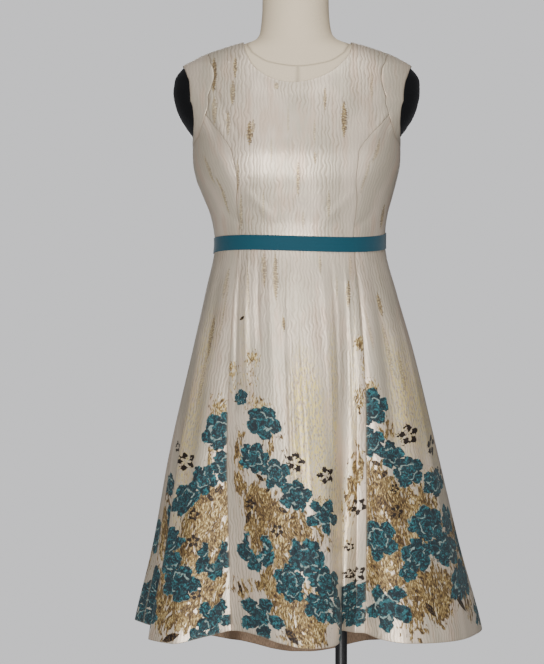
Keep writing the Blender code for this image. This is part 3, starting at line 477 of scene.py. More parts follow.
# %% [markdown]
# ## Cloth from a grid
# Each panel starts as a flat grid, which is how cloth is cut, and its points are moved onto the body. Its
# edges are turned in by a little under half a millimetre, as a sewn edge is, so that two panels meet in a
# fine groove. A Solidify modifier gives the cloth its thickness, with its reverse in a second material.

# %% Cloth helpers
SHELL = 0.0010
EDGE_TURN = 0.0004
EDGE_REACH = 0.0022
# Painted shade along the seams and edges fades over this distance.
SEAM_SHADE_REACH = 0.0012
SAME_PLACE = 1e-6


def edge_distances(points, closed=False):
    """How far each point of a grid is from the grid's sides, along its rows and columns."""
    across = np.linalg.norm(np.diff(points, axis=1), axis=-1)
    along = np.linalg.norm(np.diff(points, axis=0), axis=-1)
    left = np.pad(np.cumsum(across, axis=1), ((0, 0), (1, 0)))
    low = np.pad(np.cumsum(along, axis=0), ((1, 0), (0, 0)))
    sides = [low, low[-1:] - low]
    if not closed:
        sides += [left, left[:, -1:] - left]
    return np.minimum.reduce(sides), left, low


def turned_in(points, normals, closed=False):
    near, _, _ = edge_distances(points, closed)
    return points - normals * (EDGE_TURN * np.exp(-near / EDGE_REACH))[..., None]


def object_from(mesh, name, materials):
    """A new object at the origin with the mesh that was built."""
    data = bpy.data.meshes.new(name)
    mesh.to_mesh(data)
    mesh.free()
    for material in materials:
        data.materials.append(material)
    piece = bpy.data.objects.new(name, data)
    bpy.context.scene.collection.objects.link(piece)
    return piece


def stands_for(piece, node):
    """The piece takes the place of its solid and moves with the form."""
    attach(piece, ROOT)
    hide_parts(node)


def grid_object(name, points, materials, closed=False, weave=None):
    """A sheet of quads through a grid of points, with its outer side out."""
    rows, columns = points.shape[:2]
    mesh = bmesh.new()
    bmesh.ops.create_grid(mesh, x_segments=columns - 1, y_segments=rows - 1, size=1.0)
    row_layer = mesh.verts.layers.int.new("row")
    column_layer = mesh.verts.layers.int.new("column")
    places = np.array([vert.co[:2] for vert in mesh.verts])
    column = np.rint((places[:, 0] + 1) / 2 * (columns - 1)).astype(int)
    row = np.rint((places[:, 1] + 1) / 2 * (rows - 1)).astype(int)
    for vert, i, j in zip(mesh.verts, row, column):
        vert.co = points[i, j]
        vert[row_layer], vert[column_layer] = int(i), int(j)
    uv_layer = mesh.loops.layers.uv.new("weave")
    for face in mesh.faces:
        face.smooth = True
        for corner in face.loops:
            i, j = corner.vert[row_layer], corner.vert[column_layer]
            corner[uv_layer].uv = weave[i, j] if weave is not None else (j, i)
    if closed:
        bmesh.ops.remove_doubles(mesh, verts=mesh.verts, dist=SAME_PLACE)
    mesh.normal_update()
    middle = Vector((BODY_X, 0.0))
    outwards = sum(f.normal.xy.dot(f.calc_center_median().xy - middle) * f.calc_area() for f in mesh.faces)
    if outwards < 0:
        bmesh.ops.reverse_faces(mesh, faces=mesh.faces)
    return object_from(mesh, name, materials)


def give_thickness(piece, thickness):
    shell = piece.modifiers.new("thickness", "SOLIDIFY")
    shell.thickness = thickness
    shell.offset = -1.0
    shell.use_even_offset = False
    if len(piece.data.materials) > 1:
        shell.material_offset = 1


def values_at(piece, grid):
    """Values of a grid of numbers at the piece's vertices."""
    count = len(piece.data.vertices)
    row, column = np.zeros(count, int), np.zeros(count, int)
    piece.data.attributes["row"].data.foreach_get("value", row)
    piece.data.attributes["column"].data.foreach_get("value", column)
    return grid[row, column]


def area_of(piece):
    return sum(polygon.area for polygon in piece.data.polygons)


def sewn_on(piece, cut, thickness, node):
    """Ends a piece of cloth: notes its flat size and its area, makes it thick and gives it its place."""
    cloth_pieces[piece.name] = (piece, cut, area_of(piece))
    give_thickness(piece, thickness)
    stands_for(piece, node)


cloth_pieces = {}
print("cloth is", SHELL * 1000, "mm thick")

# %% [markdown]
# ## The woven pattern's places
# The pattern of a real brocade is woven in, and its flowers are cut wherever a seam crosses them. Each
# flower here is a place, a size and a turn. Places on the front are given as they are seen in the picture
# and are then found on the cloth; the back carries the same flowers, mirrored. A flower's own flat
# coordinates are written on the faces round it, and the material draws it there, so it follows the cloth.

# %% Pattern places
Flower = namedtuple("Flower", "across down size tilt kind")
TEAL_FLOWERS = [Flower(*row) for row in (
    (217, 430, 19.5, 10, 0.10), (261, 422, 18.3, -15, 0.22), (224, 465, 16.5, 5, 0.72),
    (252, 457, 16.5, 0, 0.80), (201, 479, 15.9, 20, 0.90), (273, 473, 15.9, -20, 0.64),
    (183, 498, 16.5, 35, 0.34), (293, 495, 17.1, 30, 0.15), (325, 514, 17.7, 0, 0.45),
    (239, 398, 7.9, 60, 0.95), (373, 406, 19.5, -10, 0.12), (370, 441, 15.9, 0, 0.78),
    (392, 453, 14.6, -25, 0.86), (411, 471, 16.5, 10, 0.30), (438, 483, 14.6, 0, 0.76),
    (254, 551, 20.7, 0, 0.55), (216, 559, 20.7, 5, 0.58), (378, 537, 21.0, -5, 0.64),
    (164, 545, 17.1, 20, 0.36), (176, 583, 19.5, -10, 0.26), (308, 556, 20.7, 0, 0.18),
    (288, 578, 17.1, 25, 0.32), (329, 582, 18.3, -20, 0.28), (350, 596, 15.9, 15, 0.38),
    (430, 524, 18.3, -5, 0.20), (418, 553, 18.3, 20, 0.27), (449, 548, 18.3, -15, 0.33),
    (462, 579, 16.5, 25, 0.24), (386, 606, 24.4, 8, 0.42), (258, 617, 22.0, -8, 0.40),
    (215, 620, 19.5, 15, 0.41), (340, 614, 17.1, -25, 0.43), (150, 598, 15.0, 10, 0.31),
    (167, 560, 14.0, -15, 0.81), (146, 618, 13.0, 30, 0.74), (322, 605, 16.0, 15, 0.37),
    (199, 636, 12.0, 60, 0.70), (344, 628, 13.0, 40, 0.68), (352, 616, 12.0, 5, 0.83),
    (411, 573, 10.0, 15, 0.92), (290, 590, 13.0, -30, 0.14),
)]
DARK_BLOOMS = [Flower(*row) for row in (
    (296, 460, 9.6, 0, 0.2), (328, 474, 8.4, 30, 0.4), (184, 461, 9.0, 0, 0.3), (411, 435, 9.6, 10, 0.6),
    (433, 444, 7.8, 25, 0.7), (356, 505, 8.4, 15, 0.5), (191, 515, 6.0, 0, 0.8), (275, 530, 6.0, 10, 0.1),
    (399, 511, 6.6, 20, 0.9), (348, 545, 4.2, 0, 0.5), (356, 573, 9.0, 0, 0.3), (192, 540, 6.6, 20, 0.4),
    (248, 504, 4.8, 0, 0.2), (397, 489, 4.8, 15, 0.1), (347, 573, 4.8, 5, 0.6), (197, 592, 6.0, 0, 0.5),
)]
DARK_LEAVES = [Flower(*row) for row in (
    (217, 488, 6.6, 40, 0.1), (208, 497, 6.0, 140, 0.2), (258, 478, 5.4, -40, 0.3),
    (266, 488, 5.4, 60, 0.4), (377, 464, 6.0, -30, 0.5), (385, 472, 6.0, 45, 0.6), (240, 317, 3.6, 30, 0.7),
    (168, 637, 9.5, 25, 0.8), (290, 635, 10.8, -50, 0.9), (433, 609, 8.5, -55, 0.2),
    (462, 601, 8.5, -50, 0.3), (246, 517, 6.6, 60, 0.4), (238, 588, 5.4, 110, 0.5),
    (282, 508, 6.0, -30, 0.6), (238, 399, 7.2, 15, 0.7),
)]
Patch = namedtuple("Patch", "across down half_width half_length strength")
GOLD_LEAF_PATCHES = [Patch(*row) for row in (
    (222, 520, 11, 30, 1.0), (208, 500, 13, 18, 0.9), (238, 484, 8, 13, 0.9), (235, 456, 4, 14, 0.8),
    (213, 518, 17, 28, 1.0), (216, 552, 6, 14, 1.0), (254, 545, 6, 14, 1.0), (262, 510, 20, 30, 1.0),
    (274, 540, 16, 30, 0.9), (196, 520, 16, 30, 1.0), (190, 540, 34, 60, 0.5), (205, 590, 20, 34, 0.7),
    (272, 560, 20, 44, 0.7), (300, 612, 34, 30, 0.7), (314, 534, 22, 20, 0.6), (398, 545, 34, 50, 0.6),
    (376, 560, 14, 34, 0.8), (428, 600, 34, 24, 0.6), (440, 540, 18, 34, 0.5), (166, 592, 20, 44, 0.6),
    (184, 560, 14, 24, 0.9), (196, 555, 16, 22, 0.8), (222, 590, 8, 20, 0.7), (256, 512, 14, 22, 1.0),
    (371, 482, 16, 26, 1.0), (398, 500, 22, 24, 1.0), (372, 520, 14, 30, 1.0), (412, 524, 18, 30, 0.9),
    (403, 560, 16, 20, 0.8), (428, 500, 14, 20, 0.8), (436, 590, 24, 22, 0.9), (458, 560, 12, 40, 0.5),
    (300, 524, 14, 20, 0.6), (172, 615, 18, 20, 0.9), (198, 610, 18, 18, 0.8), (240, 590, 14, 14, 0.6),
    (286, 605, 18, 22, 0.9), (312, 610, 18, 24, 0.8), (264, 585, 12, 12, 0.7), (372, 570, 14, 20, 0.9),
    (356, 470, 8, 30, 0.7), (414, 625, 16, 16, 0.6), (442, 615, 10, 14, 0.6), (160, 590, 12, 30, 0.6),
    (348, 500, 8, 50, 0.5), (282, 440, 4, 40, 0.3), (306, 640, 22, 10, 0.8), (250, 400, 14, 16, 0.35),
    (215, 404, 14, 16, 0.35), (240, 447, 5, 26, 0.55), (268, 446, 8, 14, 0.7), (209, 455, 9, 14, 0.6),
    (389, 428, 10, 12, 0.8), (367, 560, 10, 40, 0.8),
)]
GOLD_PUFFS = [Patch(*row) for row in (
    (252, 356, 7, 7, 1.0), (230, 366, 6, 7, 0.9), (362, 342, 6, 8, 1.0), (217, 409, 11, 10, 1.0),
    (362, 398, 6, 14, 0.9), (258, 404, 12, 9, 0.9), (372, 386, 10, 10, 0.9), (296, 480, 10, 12, 0.4),
    (325, 500, 12, 6, 0.8), (366, 360, 4, 20, 0.5), (248, 374, 12, 14, 0.4), (228, 386, 12, 14, 0.4),
    (434, 472, 9, 6, 0.7),
)]
# The narrow patches at 336 and 337 across also darken the trough right of the skirt's middle, as painted
# shade.
SPECKLE_AND_SHADE_PATCHES = [Patch(*row) for row in (
    (302, 400, 14, 46, 1.0), (316, 430, 13, 56, 1.0), (302, 460, 12, 40, 0.9), (320, 480, 10, 40, 0.7),
    (416, 400, 12, 60, 0.7), (398, 380, 8, 50, 0.5), (188, 440, 10, 60, 0.7), (205, 350, 8, 40, 0.5),
    (352, 400, 5, 70, 0.4), (344, 520, 10, 50, 0.4), (430, 420, 9, 50, 0.6), (400, 440, 10, 40, 0.5),
    (336, 390, 5, 70, 0.6), (337, 510, 5, 90, 0.7), (178, 510, 8, 50, 0.5), (242, 350, 6, 60, 0.3),
)]
GOLD_DASHES = [Patch(*row) for row in (
    (283, 323, 1.6, 9, 1.0), (350, 292, 2.4, 15, 0.9), (382, 305, 2.0, 13, 0.9), (209, 338, 2.4, 24, 0.8),
    (262, 268, 2.4, 20, 0.7), (274, 275, 2.6, 26, 0.8), (246, 290, 1.4, 30, 0.5), (320, 262, 1.6, 10, 0.6),
    (352, 265, 1.4, 14, 0.4), (224, 282, 2.0, 18, 0.5), (390, 350, 2.0, 30, 0.5), (372, 330, 1.6, 22, 0.4),
    (222, 310, 1.2, 30, 0.4), (338, 285, 1.4, 12, 0.4), (404, 372, 2.2, 22, 0.5), (200, 380, 2.0, 30, 0.5),
)]
BODICE_DASHES = [Patch(*row) for row in (
    (234, 66, 2.0, 12, 0.9), (231, 92, 2.4, 14, 0.8), (248, 133, 3.2, 13, 1.0), (251, 126, 2.0, 8, 0.7),
    (296, 180, 1.6, 19, 0.8), (317, 156, 1.6, 7, 0.7), (345, 118, 2.8, 20, 1.0), (325, 97, 1.6, 13, 0.8),
    (316, 130, 1.4, 14, 0.4), (209, 74, 2.6, 20, 1.0), (236, 176, 1.6, 18, 0.6), (239, 214, 1.4, 20, 0.6),
    (384, 217, 1.8, 13, 0.8), (372, 84, 1.8, 16, 0.4), (276, 84, 2.4, 4, 0.7), (214, 108, 2.0, 16, 0.6),
    (262, 208, 1.2, 18, 0.4), (330, 205, 1.4, 16, 0.5), (366, 178, 1.4, 18, 0.5), (222, 196, 1.6, 20, 0.6),
    (208, 170, 1.6, 16, 0.5), (226, 122, 1.8, 14, 0.7), (378, 150, 1.8, 14, 0.5), (288, 118, 1.2, 16, 0.4),
    (304, 222, 1.4, 10, 0.5), (270, 150, 1.2, 14, 0.4),
)]

print(len(TEAL_FLOWERS), "teal flowers and", len(GOLD_LEAF_PATCHES), "gold patches on the front")

# %% [markdown]
# ## Places at the sides
# The side seams are hardly seen in the picture. A few more motifs go over them, given by how many degrees
# they lie past the seam and how far down the skirt, so that the front and the back meet without a bare strip.

# %% Places at the sides
SideMotif = namedtuple("SideMotif", "past_side drop half_width half_length tilt kind")
SIDE_FLOWERS = [SideMotif(*row) for row in (
    (-15, 0.71, 0.028, 0.028, 10, 0.12), (-3, 0.77, 0.031, 0.031, -20, 0.33),
    (9, 0.71, 0.027, 0.027, 30, 0.77), (-12, 0.86, 0.031, 0.031, 5, 0.66),
    (1, 0.89, 0.029, 0.029, 15, 0.24), (14, 0.84, 0.030, 0.030, -10, 0.90),
    (-6, 0.95, 0.024, 0.024, 40, 0.42), (19, 0.94, 0.028, 0.028, 0, 0.36),
    (3, 0.63, 0.020, 0.020, 25, 0.72),
)]
SIDE_GOLD = [SideMotif(*row) for row in (
    (-8, 0.79, 0.040, 0.060, 0, 1.0), (7, 0.80, 0.036, 0.066, 0, 0.9), (0, 0.69, 0.026, 0.050, 0, 0.7),
    (10, 0.92, 0.034, 0.036, 0, 0.8), (-14, 0.93, 0.030, 0.030, 0, 0.7), (-2, 0.58, 0.010, 0.030, 0, 0.4),
)]
SIDE_BLOOMS = [SideMotif(*row) for row in (
    (-8, 0.60, 0.014, 0.014, 0, 0.3), (14, 0.63, 0.013, 0.013, 20, 0.6), (6, 0.53, 0.009, 0.009, 10, 0.8),
)]
print(len(SIDE_FLOWERS), "flowers over each side seam")

# %% [markdown]
# ## The panels' surfaces
# A seamstress would cut seven bodice panels, two armhole bands and seven skirt gores. Each panel and gore
# becomes a grid of points here, with rows and columns closer together beside its edges so that the turned-in
# seams stay crisp. The weave's own coordinates are in metres, across and up the cloth.

# %% Panel grids
Panel = namedtuple("Panel", "points normals weave")
EDGE_STEPS = np.array([0.0, 0.0010, 0.0022, 0.0042])
PANEL_LENGTH = 0.30
PANEL_WIDTH = 0.16
GORE_LENGTH = 0.68
GORE_WIDTH = 0.22
panels = {}


def edge_closer(count, length):
    """Shares from 0 to 1, even in the middle and closer at both ends."""
    near = EDGE_STEPS / length
    middle = np.linspace(near[-1], 1 - near[-1], count)[1:-1]
    return np.concatenate([near, middle, 1 - near[::-1]])


def resampled(places, shares):
    reached = shares_along(form_point(places[:, 0], places[:, 1]))
    return np.stack([np.interp(shares, reached, places[:, k]) for k in (0, 1)], axis=-1)


def centre_edge(face, word, side, side_turn):
    """A centre panel's side edge: up the princess seam, the armhole seam and the shoulder seam."""
    angles = arc_angles(60)
    if face == "back":
        angles = 180.0 - angles
    seam = seam_places(f"{face}_{word}", side, angles[0], 90)
    arc = near_turn(loop_places(ARMHOLE_SEAM, side, angles[1:]), side_turn)
    shoulder = upright_places(side_turn, arc[-1][1], NECK_POINT, 20)
    shoulder[0, 0] = side_turn
    return np.concatenate([near_turn(seam, side_turn), arc, shoulder[1:]])


def bodice_cloth(name, edges, rows, columns, across):
    """A bodice panel from its bottom, top, start and end edges."""
    row_shares, column_shares = edge_closer(rows, PANEL_LENGTH), edge_closer(columns, PANEL_WIDTH)
    bottom, top = (resampled(edge, column_shares) for edge in edges[:2])
    start, end = (resampled(edge, row_shares) for edge in edges[2:])
    turn, height = patch_places(bottom, top, start, end)
    plain = bodice_point(turn, height, CLOTH)
    normals = levelled(outward(form_point, turn, height), turn, height)
    points = plain + normals * bodice_lift(plain)[..., None]
    if across == "x":
        width = points[..., 0] - BODY_X
    else:
        width = edge_distances(points)[1]
        width = width - width[:, columns // 2][:, None]
    panels[name] = Panel(points, normals, np.stack([width, points[..., 2]], axis=-1))


def skirt_cloth(name, first, last, rows, columns):
    drops, shares = edge_closer(rows, GORE_LENGTH), edge_closer(columns, GORE_WIDTH)
    turn, drop = np.meshgrid(first + (last - first) * shares, drops)
    points = skirt_point(turn, drop, CLOTH)
    normals = outward(skirt_face, turn, -drop)
    _, left, low = edge_distances(points)
    middle = left.shape[1] // 2
    panels[name] = Panel(points, normals, np.stack([left - left[:, middle:middle + 1], -low], axis=-1))


left_edge = centre_edge("front", "left", -1, 180.0)
right_edge = centre_edge("front", "right", 1, 360.0)
neckline = np.concatenate([
    near_turn(neck_places(-1, "front", 200), 270.0),
    near_turn(neck_places(1, "front", 200), 270.0)[-2::-1],
])
front_waist = waist_places(left_edge[0][0], right_edge[0][0], 200)
bodice_cloth("bodice_front_centre", (front_waist, neckline, left_edge, right_edge), 110, 96, "x")
for word, side, side_turn in (("right", 1, 0.0), ("left", -1, 180.0)):
    edge = centre_edge("back", word, side, side_turn)
    top = near_turn(neck_places(side, "back", 200), 90.0)
    zip_edge = upright_places(90.0, waist_height(90.0), top[-1][1], 100)
    back_waist = waist_places(edge[0][0], 90.0, 100)
    bodice_cloth("bodice_back_" + word, (back_waist, top, edge, zip_edge), 100, 48, "x")
    for face in ("front", "back"):
        turn_here = 360.0 if face == "front" and side > 0 else side_turn
        top_angle = PRINCESS_LOOP_ANGLE if face == "front" else 180.0 - PRINCESS_LOOP_ANGLE
        low_angle = -90.0 if face == "front" else 270.0
        seam = near_turn(seam_places(f"{face}_{word}", side, top_angle, 100), turn_here)
        arc = loop_places(ARMHOLE_SEAM, side, np.linspace(low_angle, top_angle, 60))
        under_arm = near_turn(arc, turn_here)
        side_waist = waist_places(turn_here, seam[0][0], 60)
        side_seam = upright_places(turn_here, waist_height(turn_here), under_arm[0][1], 80)
        bodice_cloth(f"bodice_{face}_side_{word}", (side_waist, under_arm, side_seam, seam), 62, 36, "along")

GORES = (
    ("skirt_front_centre", 226.0, 306.0, 170, 210),
    ("skirt_front_side_right", 306.0, 360.0, 120, 110),
    ("skirt_front_side_left", 180.0, 226.0, 120, 120),
    ("skirt_back_side_right", 0.0, 48.0, 100, 76),
    ("skirt_back_side_left", 132.0, 180.0, 100, 76),
    ("skirt_back_right", 48.0, 90.0, 100, 70),
    ("skirt_back_left", 90.0, 132.0, 100, 70),
)
for gore in GORES:
    skirt_cloth(*gore)
print(len(panels), "panels,", sum(panel.points[..., 0].size for panel in panels.values()), "points")

# %% [markdown]
# ## Putting the pattern on the cloth
# Each place in the picture is looked up on the nearest panel that faces the camera there. Its mirror image
# goes on the back. Looking them up by hand would take hours and would be lost with each change of the cloth.

# %% Finding the places
Spot = namedtuple("Spot", "panel u v width length tilt kind")
FRONT_SKIRT = [name for name in panels if name.startswith("skirt_front")]
BACK_SKIRT = [name for name in panels if name.startswith("skirt_back")]
FRONT_BODICE = [name for name in panels if name.startswith("bodice_front")]
BACK_BODICE = [name for name in panels if name.startswith("bodice_back")]
LEAST_FACING = 0.55
NEAR_ENOUGH = 2.5
TURNED_AWAY = 0.1
TOO_FAR = 99.0


def found_in_picture(across, down, names):
    """The panel, the grid place and the metres in a picture point, for a place in the picture."""
    found = []
    for name in names:
        panel = panels[name]
        px, py, depth = seen_at(panel.points)
        turned_away = np.where(panel.normals[..., 1] > TURNED_AWAY, TOO_FAR, 0.0)
        rank = np.maximum(np.hypot(px - across, py - down) + turned_away, NEAR_ENOUGH) + depth
        here = np.unravel_index(np.argmin(rank), rank.shape)
        found.append((rank[here], name, here, depth[here] / POINTS_PER_RADIAN))
    return min(found, key=lambda each: each[0])[1:]


def found_behind(name, here, names):
    """The grid place on the back that mirrors a place on the front."""
    point = panels[name].points[here] * np.array([1.0, -1.0, 1.0])
    found = []
    for other in names:
        away = np.linalg.norm(panels[other].points - point, axis=-1)
        place = np.unravel_index(np.argmin(away), away.shape)
        found.append((away[place], other, place))
    return min(found, key=lambda each: each[0])[1:]


def spots_of(items, fronts, backs):
    spots = []
    for item in items:
        if isinstance(item, Flower):
            width, length, tilt, kind = item.size, item.size, item.tilt, item.kind
        else:
            width, length, tilt, kind = item.half_width, item.half_length, 0.0, item.strength
        name, here, metres = found_in_picture(item.across, item.down, fronts)
        normal = panels[name].normals[here]
        facing = max(LEAST_FACING, abs(normal[1]) / math.hypot(normal[0], normal[1]))
        for panel, place in ((name, here), found_behind(name, here, backs)):
            u, v = panels[panel].weave[place]
            spots.append(Spot(panel, u, v, width * metres / facing, length * metres, tilt * DEG, kind))
    return spots


def on_gore(turn, drop):
    """The gore and the grid place at a turn and a drop."""
    for name, first, last, rows, columns in GORES:
        if first <= turn <= last:
            row = np.argmin(np.abs(edge_closer(rows, GORE_LENGTH) - drop))
            column = np.argmin(np.abs(edge_closer(columns, GORE_WIDTH) - (turn - first) / (last - first)))
            return name, (row, column)


def side_spots(items):
    """The motifs over the side seams. The left side has them turned about."""
    spots = []
    for item in items:
        for turn in (item.past_side % 360.0, 180.0 + item.past_side):
            name, place = on_gore(turn, item.drop)
            u, v = panels[name].weave[place]
            spots.append(Spot(name, u, v, item.half_width, item.half_length, item.tilt * DEG, item.kind))
    return spots


FACE_MOTIFS = {
    "flower": (TEAL_FLOWERS, SIDE_FLOWERS), "bloom": (DARK_BLOOMS, SIDE_BLOOMS), "leaf": (DARK_LEAVES, ()),
    "dash": (GOLD_DASHES, ()),
}
SOFT_ZONES = {
    "gold": (GOLD_LEAF_PATCHES, SIDE_GOLD), "puff": (GOLD_PUFFS, ()), "speckle": (SPECKLE_AND_SHADE_PATCHES, ()),
}
spots = {
    motif: spots_of(in_picture, FRONT_SKIRT, BACK_SKIRT) + side_spots(at_sides)
    for motif, (in_picture, at_sides) in (FACE_MOTIFS | SOFT_ZONES).items()
}
spots["dash"] += spots_of(BODICE_DASHES, FRONT_BODICE, BACK_BODICE)
print({motif: len(places) for motif, places in spots.items()})


# %% [markdown]
# ## Writing the pattern on the cloth
# A loom lays each thread where the pattern needs it. Here each face near a flower keeps where it lies in that
# flower, and each vertex keeps how much gold it has. Other faces keep a place that is far from any flower.

# %% Writing it on the cloth
FAR = 9.0
DRAWN_REACH = 2.0


def spots_on(panel_name, motif):
    return [spot for spot in spots[motif] if spot.panel == panel_name]


def local_places(weave, spot):
    du, dv = weave[..., 0] - spot.u, weave[..., 1] - spot.v
    c, s = math.cos(spot.tilt), math.sin(spot.tilt)
    return (du * c + dv * s) / spot.width, (dv * c - du * s) / spot.length


def draw_motifs(piece, panel_name, motif):
    """On each face, the flat coordinates of the nearest flower, bloom, leaf or dash."""
    count = len(piece.data.loops)
    weave = np.zeros(2 * count, np.float32)
    piece.data.uv_layers["weave"].data.foreach_get("uv", weave)
    weave = weave.reshape(-1, 4, 2)
    middles = weave.mean(axis=1)
    nearest = np.full(len(middles), DRAWN_REACH)
    drawn = np.zeros((len(middles), 4, 3), np.float32)
    drawn[..., :2] = FAR
    for spot in spots_on(panel_name, motif):
        x, y = local_places(middles, spot)
        away = np.hypot(x, y)
        chosen = away < nearest
        nearest[chosen] = away[chosen]
        x, y = local_places(weave[chosen], spot)
        drawn[chosen] = np.stack([x, y, np.full_like(x, spot.kind)], axis=-1)
    layer = piece.data.attributes.new(motif, "FLOAT_VECTOR", "CORNER")
    layer.data.foreach_set("vector", drawn.reshape(-1))


def draw_values(piece, attribute, grid):
    layer = piece.data.attributes.new(attribute, "FLOAT", "POINT")
    layer.data.foreach_set("value", values_at(piece, grid))


def draw_zone(piece, panel_name, motif):
    """A soft value at each vertex, 1 inside the patches."""
    weave = panels[panel_name].weave
    total = np.zeros(weave.shape[:2])
    for spot in spots_on(panel_name, motif):
        x, y = local_places(weave, spot)
        total += spot.kind * np.exp(-((x**2 + y**2) ** 1.5))
    draw_values(piece, motif, np.clip(total, 0.0, 1.0))


print("a motif is written as far as", DRAWN_REACH, "times its size")

# %% [markdown]
# ## Materials from small steps
# The brocade is a satin with fine upright ripples, woven gold leaves and dashes, and teal and dark brown
# flowers. Each could be painted on a picture of the cloth, but a shader can draw them from a few numbers,
# which keeps them sharp at any size. This class gives its steps short names.


# %% Shader helper
class Shade:
    """A material made step by step. Each step gives a socket that later steps can use."""

    def __init__(self, name, roughness=0.5, metallic=0.0):
        self.material = bpy.data.materials.new(name)
        self.material.use_nodes = True
        self.tree = self.material.node_tree
        self.skin = self.tree.nodes["Principled BSDF"]
        self.skin.inputs["Roughness"].default_value = roughness
        self.skin.inputs["Metallic"].default_value = metallic

    def feed(self, socket, value):
        if isinstance(value, bpy.types.NodeSocket):
            self.tree.links.new(value, socket)
        elif socket.type == "RGBA":
            socket.default_value = (*value, 1.0)
        else:
            socket.default_value = value

    def calc(self, operation, a, b=0.0, c=0.0):
        node = self.tree.nodes.new("ShaderNodeMath")
        node.operation = operation
        for socket, value in zip(node.inputs, (a, b, c)):
            self.feed(socket, value)
        return node.outputs[0]

    def times(self, a, b):
        return self.calc("MULTIPLY", a, b)

    def times_plus(self, a, b, c):
        """a * b + c."""
        return self.calc("MULTIPLY_ADD", a, b, c)

    def plus(self, a, b):
        return self.calc("ADD", a, b)

    def less(self, a, b):
        """a - b."""
        return self.calc("SUBTRACT", a, b)

    def soft_step(self, value, low, high):
        """0 below low, 1 above high and smooth between them."""
        node = self.tree.nodes.new("ShaderNodeMapRange")
        node.interpolation_type = "SMOOTHSTEP"
        for name, number in (("Value", value), ("From Min", low), ("From Max", high)):
            self.feed(node.inputs[name], number)
        return node.outputs[0]

    def split(self, vector):
        node = self.tree.nodes.new("ShaderNodeSeparateXYZ")
        self.feed(node.inputs[0], vector)
        return node.outputs

    def join(self, x, y, z=0.0):
        node = self.tree.nodes.new("ShaderNodeCombineXYZ")
        for socket, value in zip(node.inputs, (x, y, z)):
            self.feed(socket, value)
        return node.outputs[0]

    def noise(self, vector, scale=1.0, detail=2.0):
        """A soft random value about 0.5."""
        node = self.tree.nodes.new("ShaderNodeTexNoise")
        self.feed(node.inputs["Vector"], vector)
        self.feed(node.inputs["Scale"], scale)
        self.feed(node.inputs["Detail"], detail)
        return node.outputs["Fac"]

    def blend(self, share, a, b):
        node = self.tree.nodes.new("ShaderNodeMix")
        node.data_type = "RGBA"
        self.feed(node.inputs["Factor"], share)
        self.feed(node.inputs[6], a)
        self.feed(node.inputs[7], b)
        return node.outputs[2]

    def grain(self, u, v, across, up, seed=0.0, detail=2.0):
        """Noise on the cloth that changes so many times in a metre across it and up it."""
        return self.noise(self.join(self.times(u, across), self.times(v, up), seed), 1.0, detail)

    def attribute(self, name, output):
        node = self.tree.nodes.new("ShaderNodeAttribute")
        node.attribute_name = name
        return node.outputs[output]

    def value_of(self, name):
        return self.attribute(name, "Fac")

    def places_of(self, name):
        """A motif's flat coordinates and its kind."""
        return self.split(self.attribute(name, "Vector"))

    def weave(self):
        node = self.tree.nodes.new("ShaderNodeUVMap")
        node.uv_map = "weave"
        return self.split(node.outputs[0])[:2]

    def place(self):
        return self.tree.nodes.new("ShaderNodeTexCoord").outputs["Object"]

    def bump(self, height, distance, strength=1.0):
        node = self.tree.nodes.new("ShaderNodeBump")
        self.feed(node.inputs["Height"], height)
        self.feed(node.inputs["Distance"], distance)
        self.feed(node.inputs["Strength"], strength)
        self.feed(self.skin.inputs["Normal"], node.outputs[0])


print(sum(not name.startswith("_") for name in vars(Shade)), "kinds of shader step")

# %% [markdown]
# ## Thread colours
# The ground is champagne, and the woven threads are gold, teal and dark brown. A dyer matches them by eye, so
# they are given as they look on a screen and are turned into light values once.


# %% Thread colours
def shown(red, green, blue):
    """A colour as it looks on a screen, as the light values that a shader needs."""
    return tuple(((v / 255 + 0.055) / 1.055) ** 2.4 if v > 10 else v / 3294.6 for v in (red, green, blue))


SATIN = shown(216, 200, 180)
SATIN_ROSE = shown(206, 182, 160)
SATIN_GREY = shown(196, 184, 164)
RIPPLE_SHADE = shown(138, 120, 98)
STRAW = shown(203, 183, 134)
GOLD = shown(142, 117, 70)
GOLD_BROWN = shown(100, 79, 50)
GOLD_DARK = shown(58, 42, 28)
FLECK_PALE = shown(220, 199, 128)
FLECK_DEEP = shown(158, 130, 82)
TEAL = shown(26, 68, 74)
TEAL_BRIGHT = shown(44, 104, 110)
TEAL_PALE = shown(158, 176, 166)
NAVY = shown(18, 30, 36)
BROWN_BLACK = shown(36, 27, 22)
print("champagne as light", [round(value, 2) for value in SATIN])

# %% [markdown]
# ## The satin ground
# The ground's long threads catch the light in fine, swaying upright ripples. They are too fine for the mesh,
# so a bent sine wave and a stretched noise stand for them, with a small height and painted shade in the
# troughs.

# %% Satin ground
RIPPLE_WIDTH = 0.0060
# How strongly the painted shade in the ripple troughs shows on the calmer pieces.
CALM_RIPPLE_SHADE = 0.35


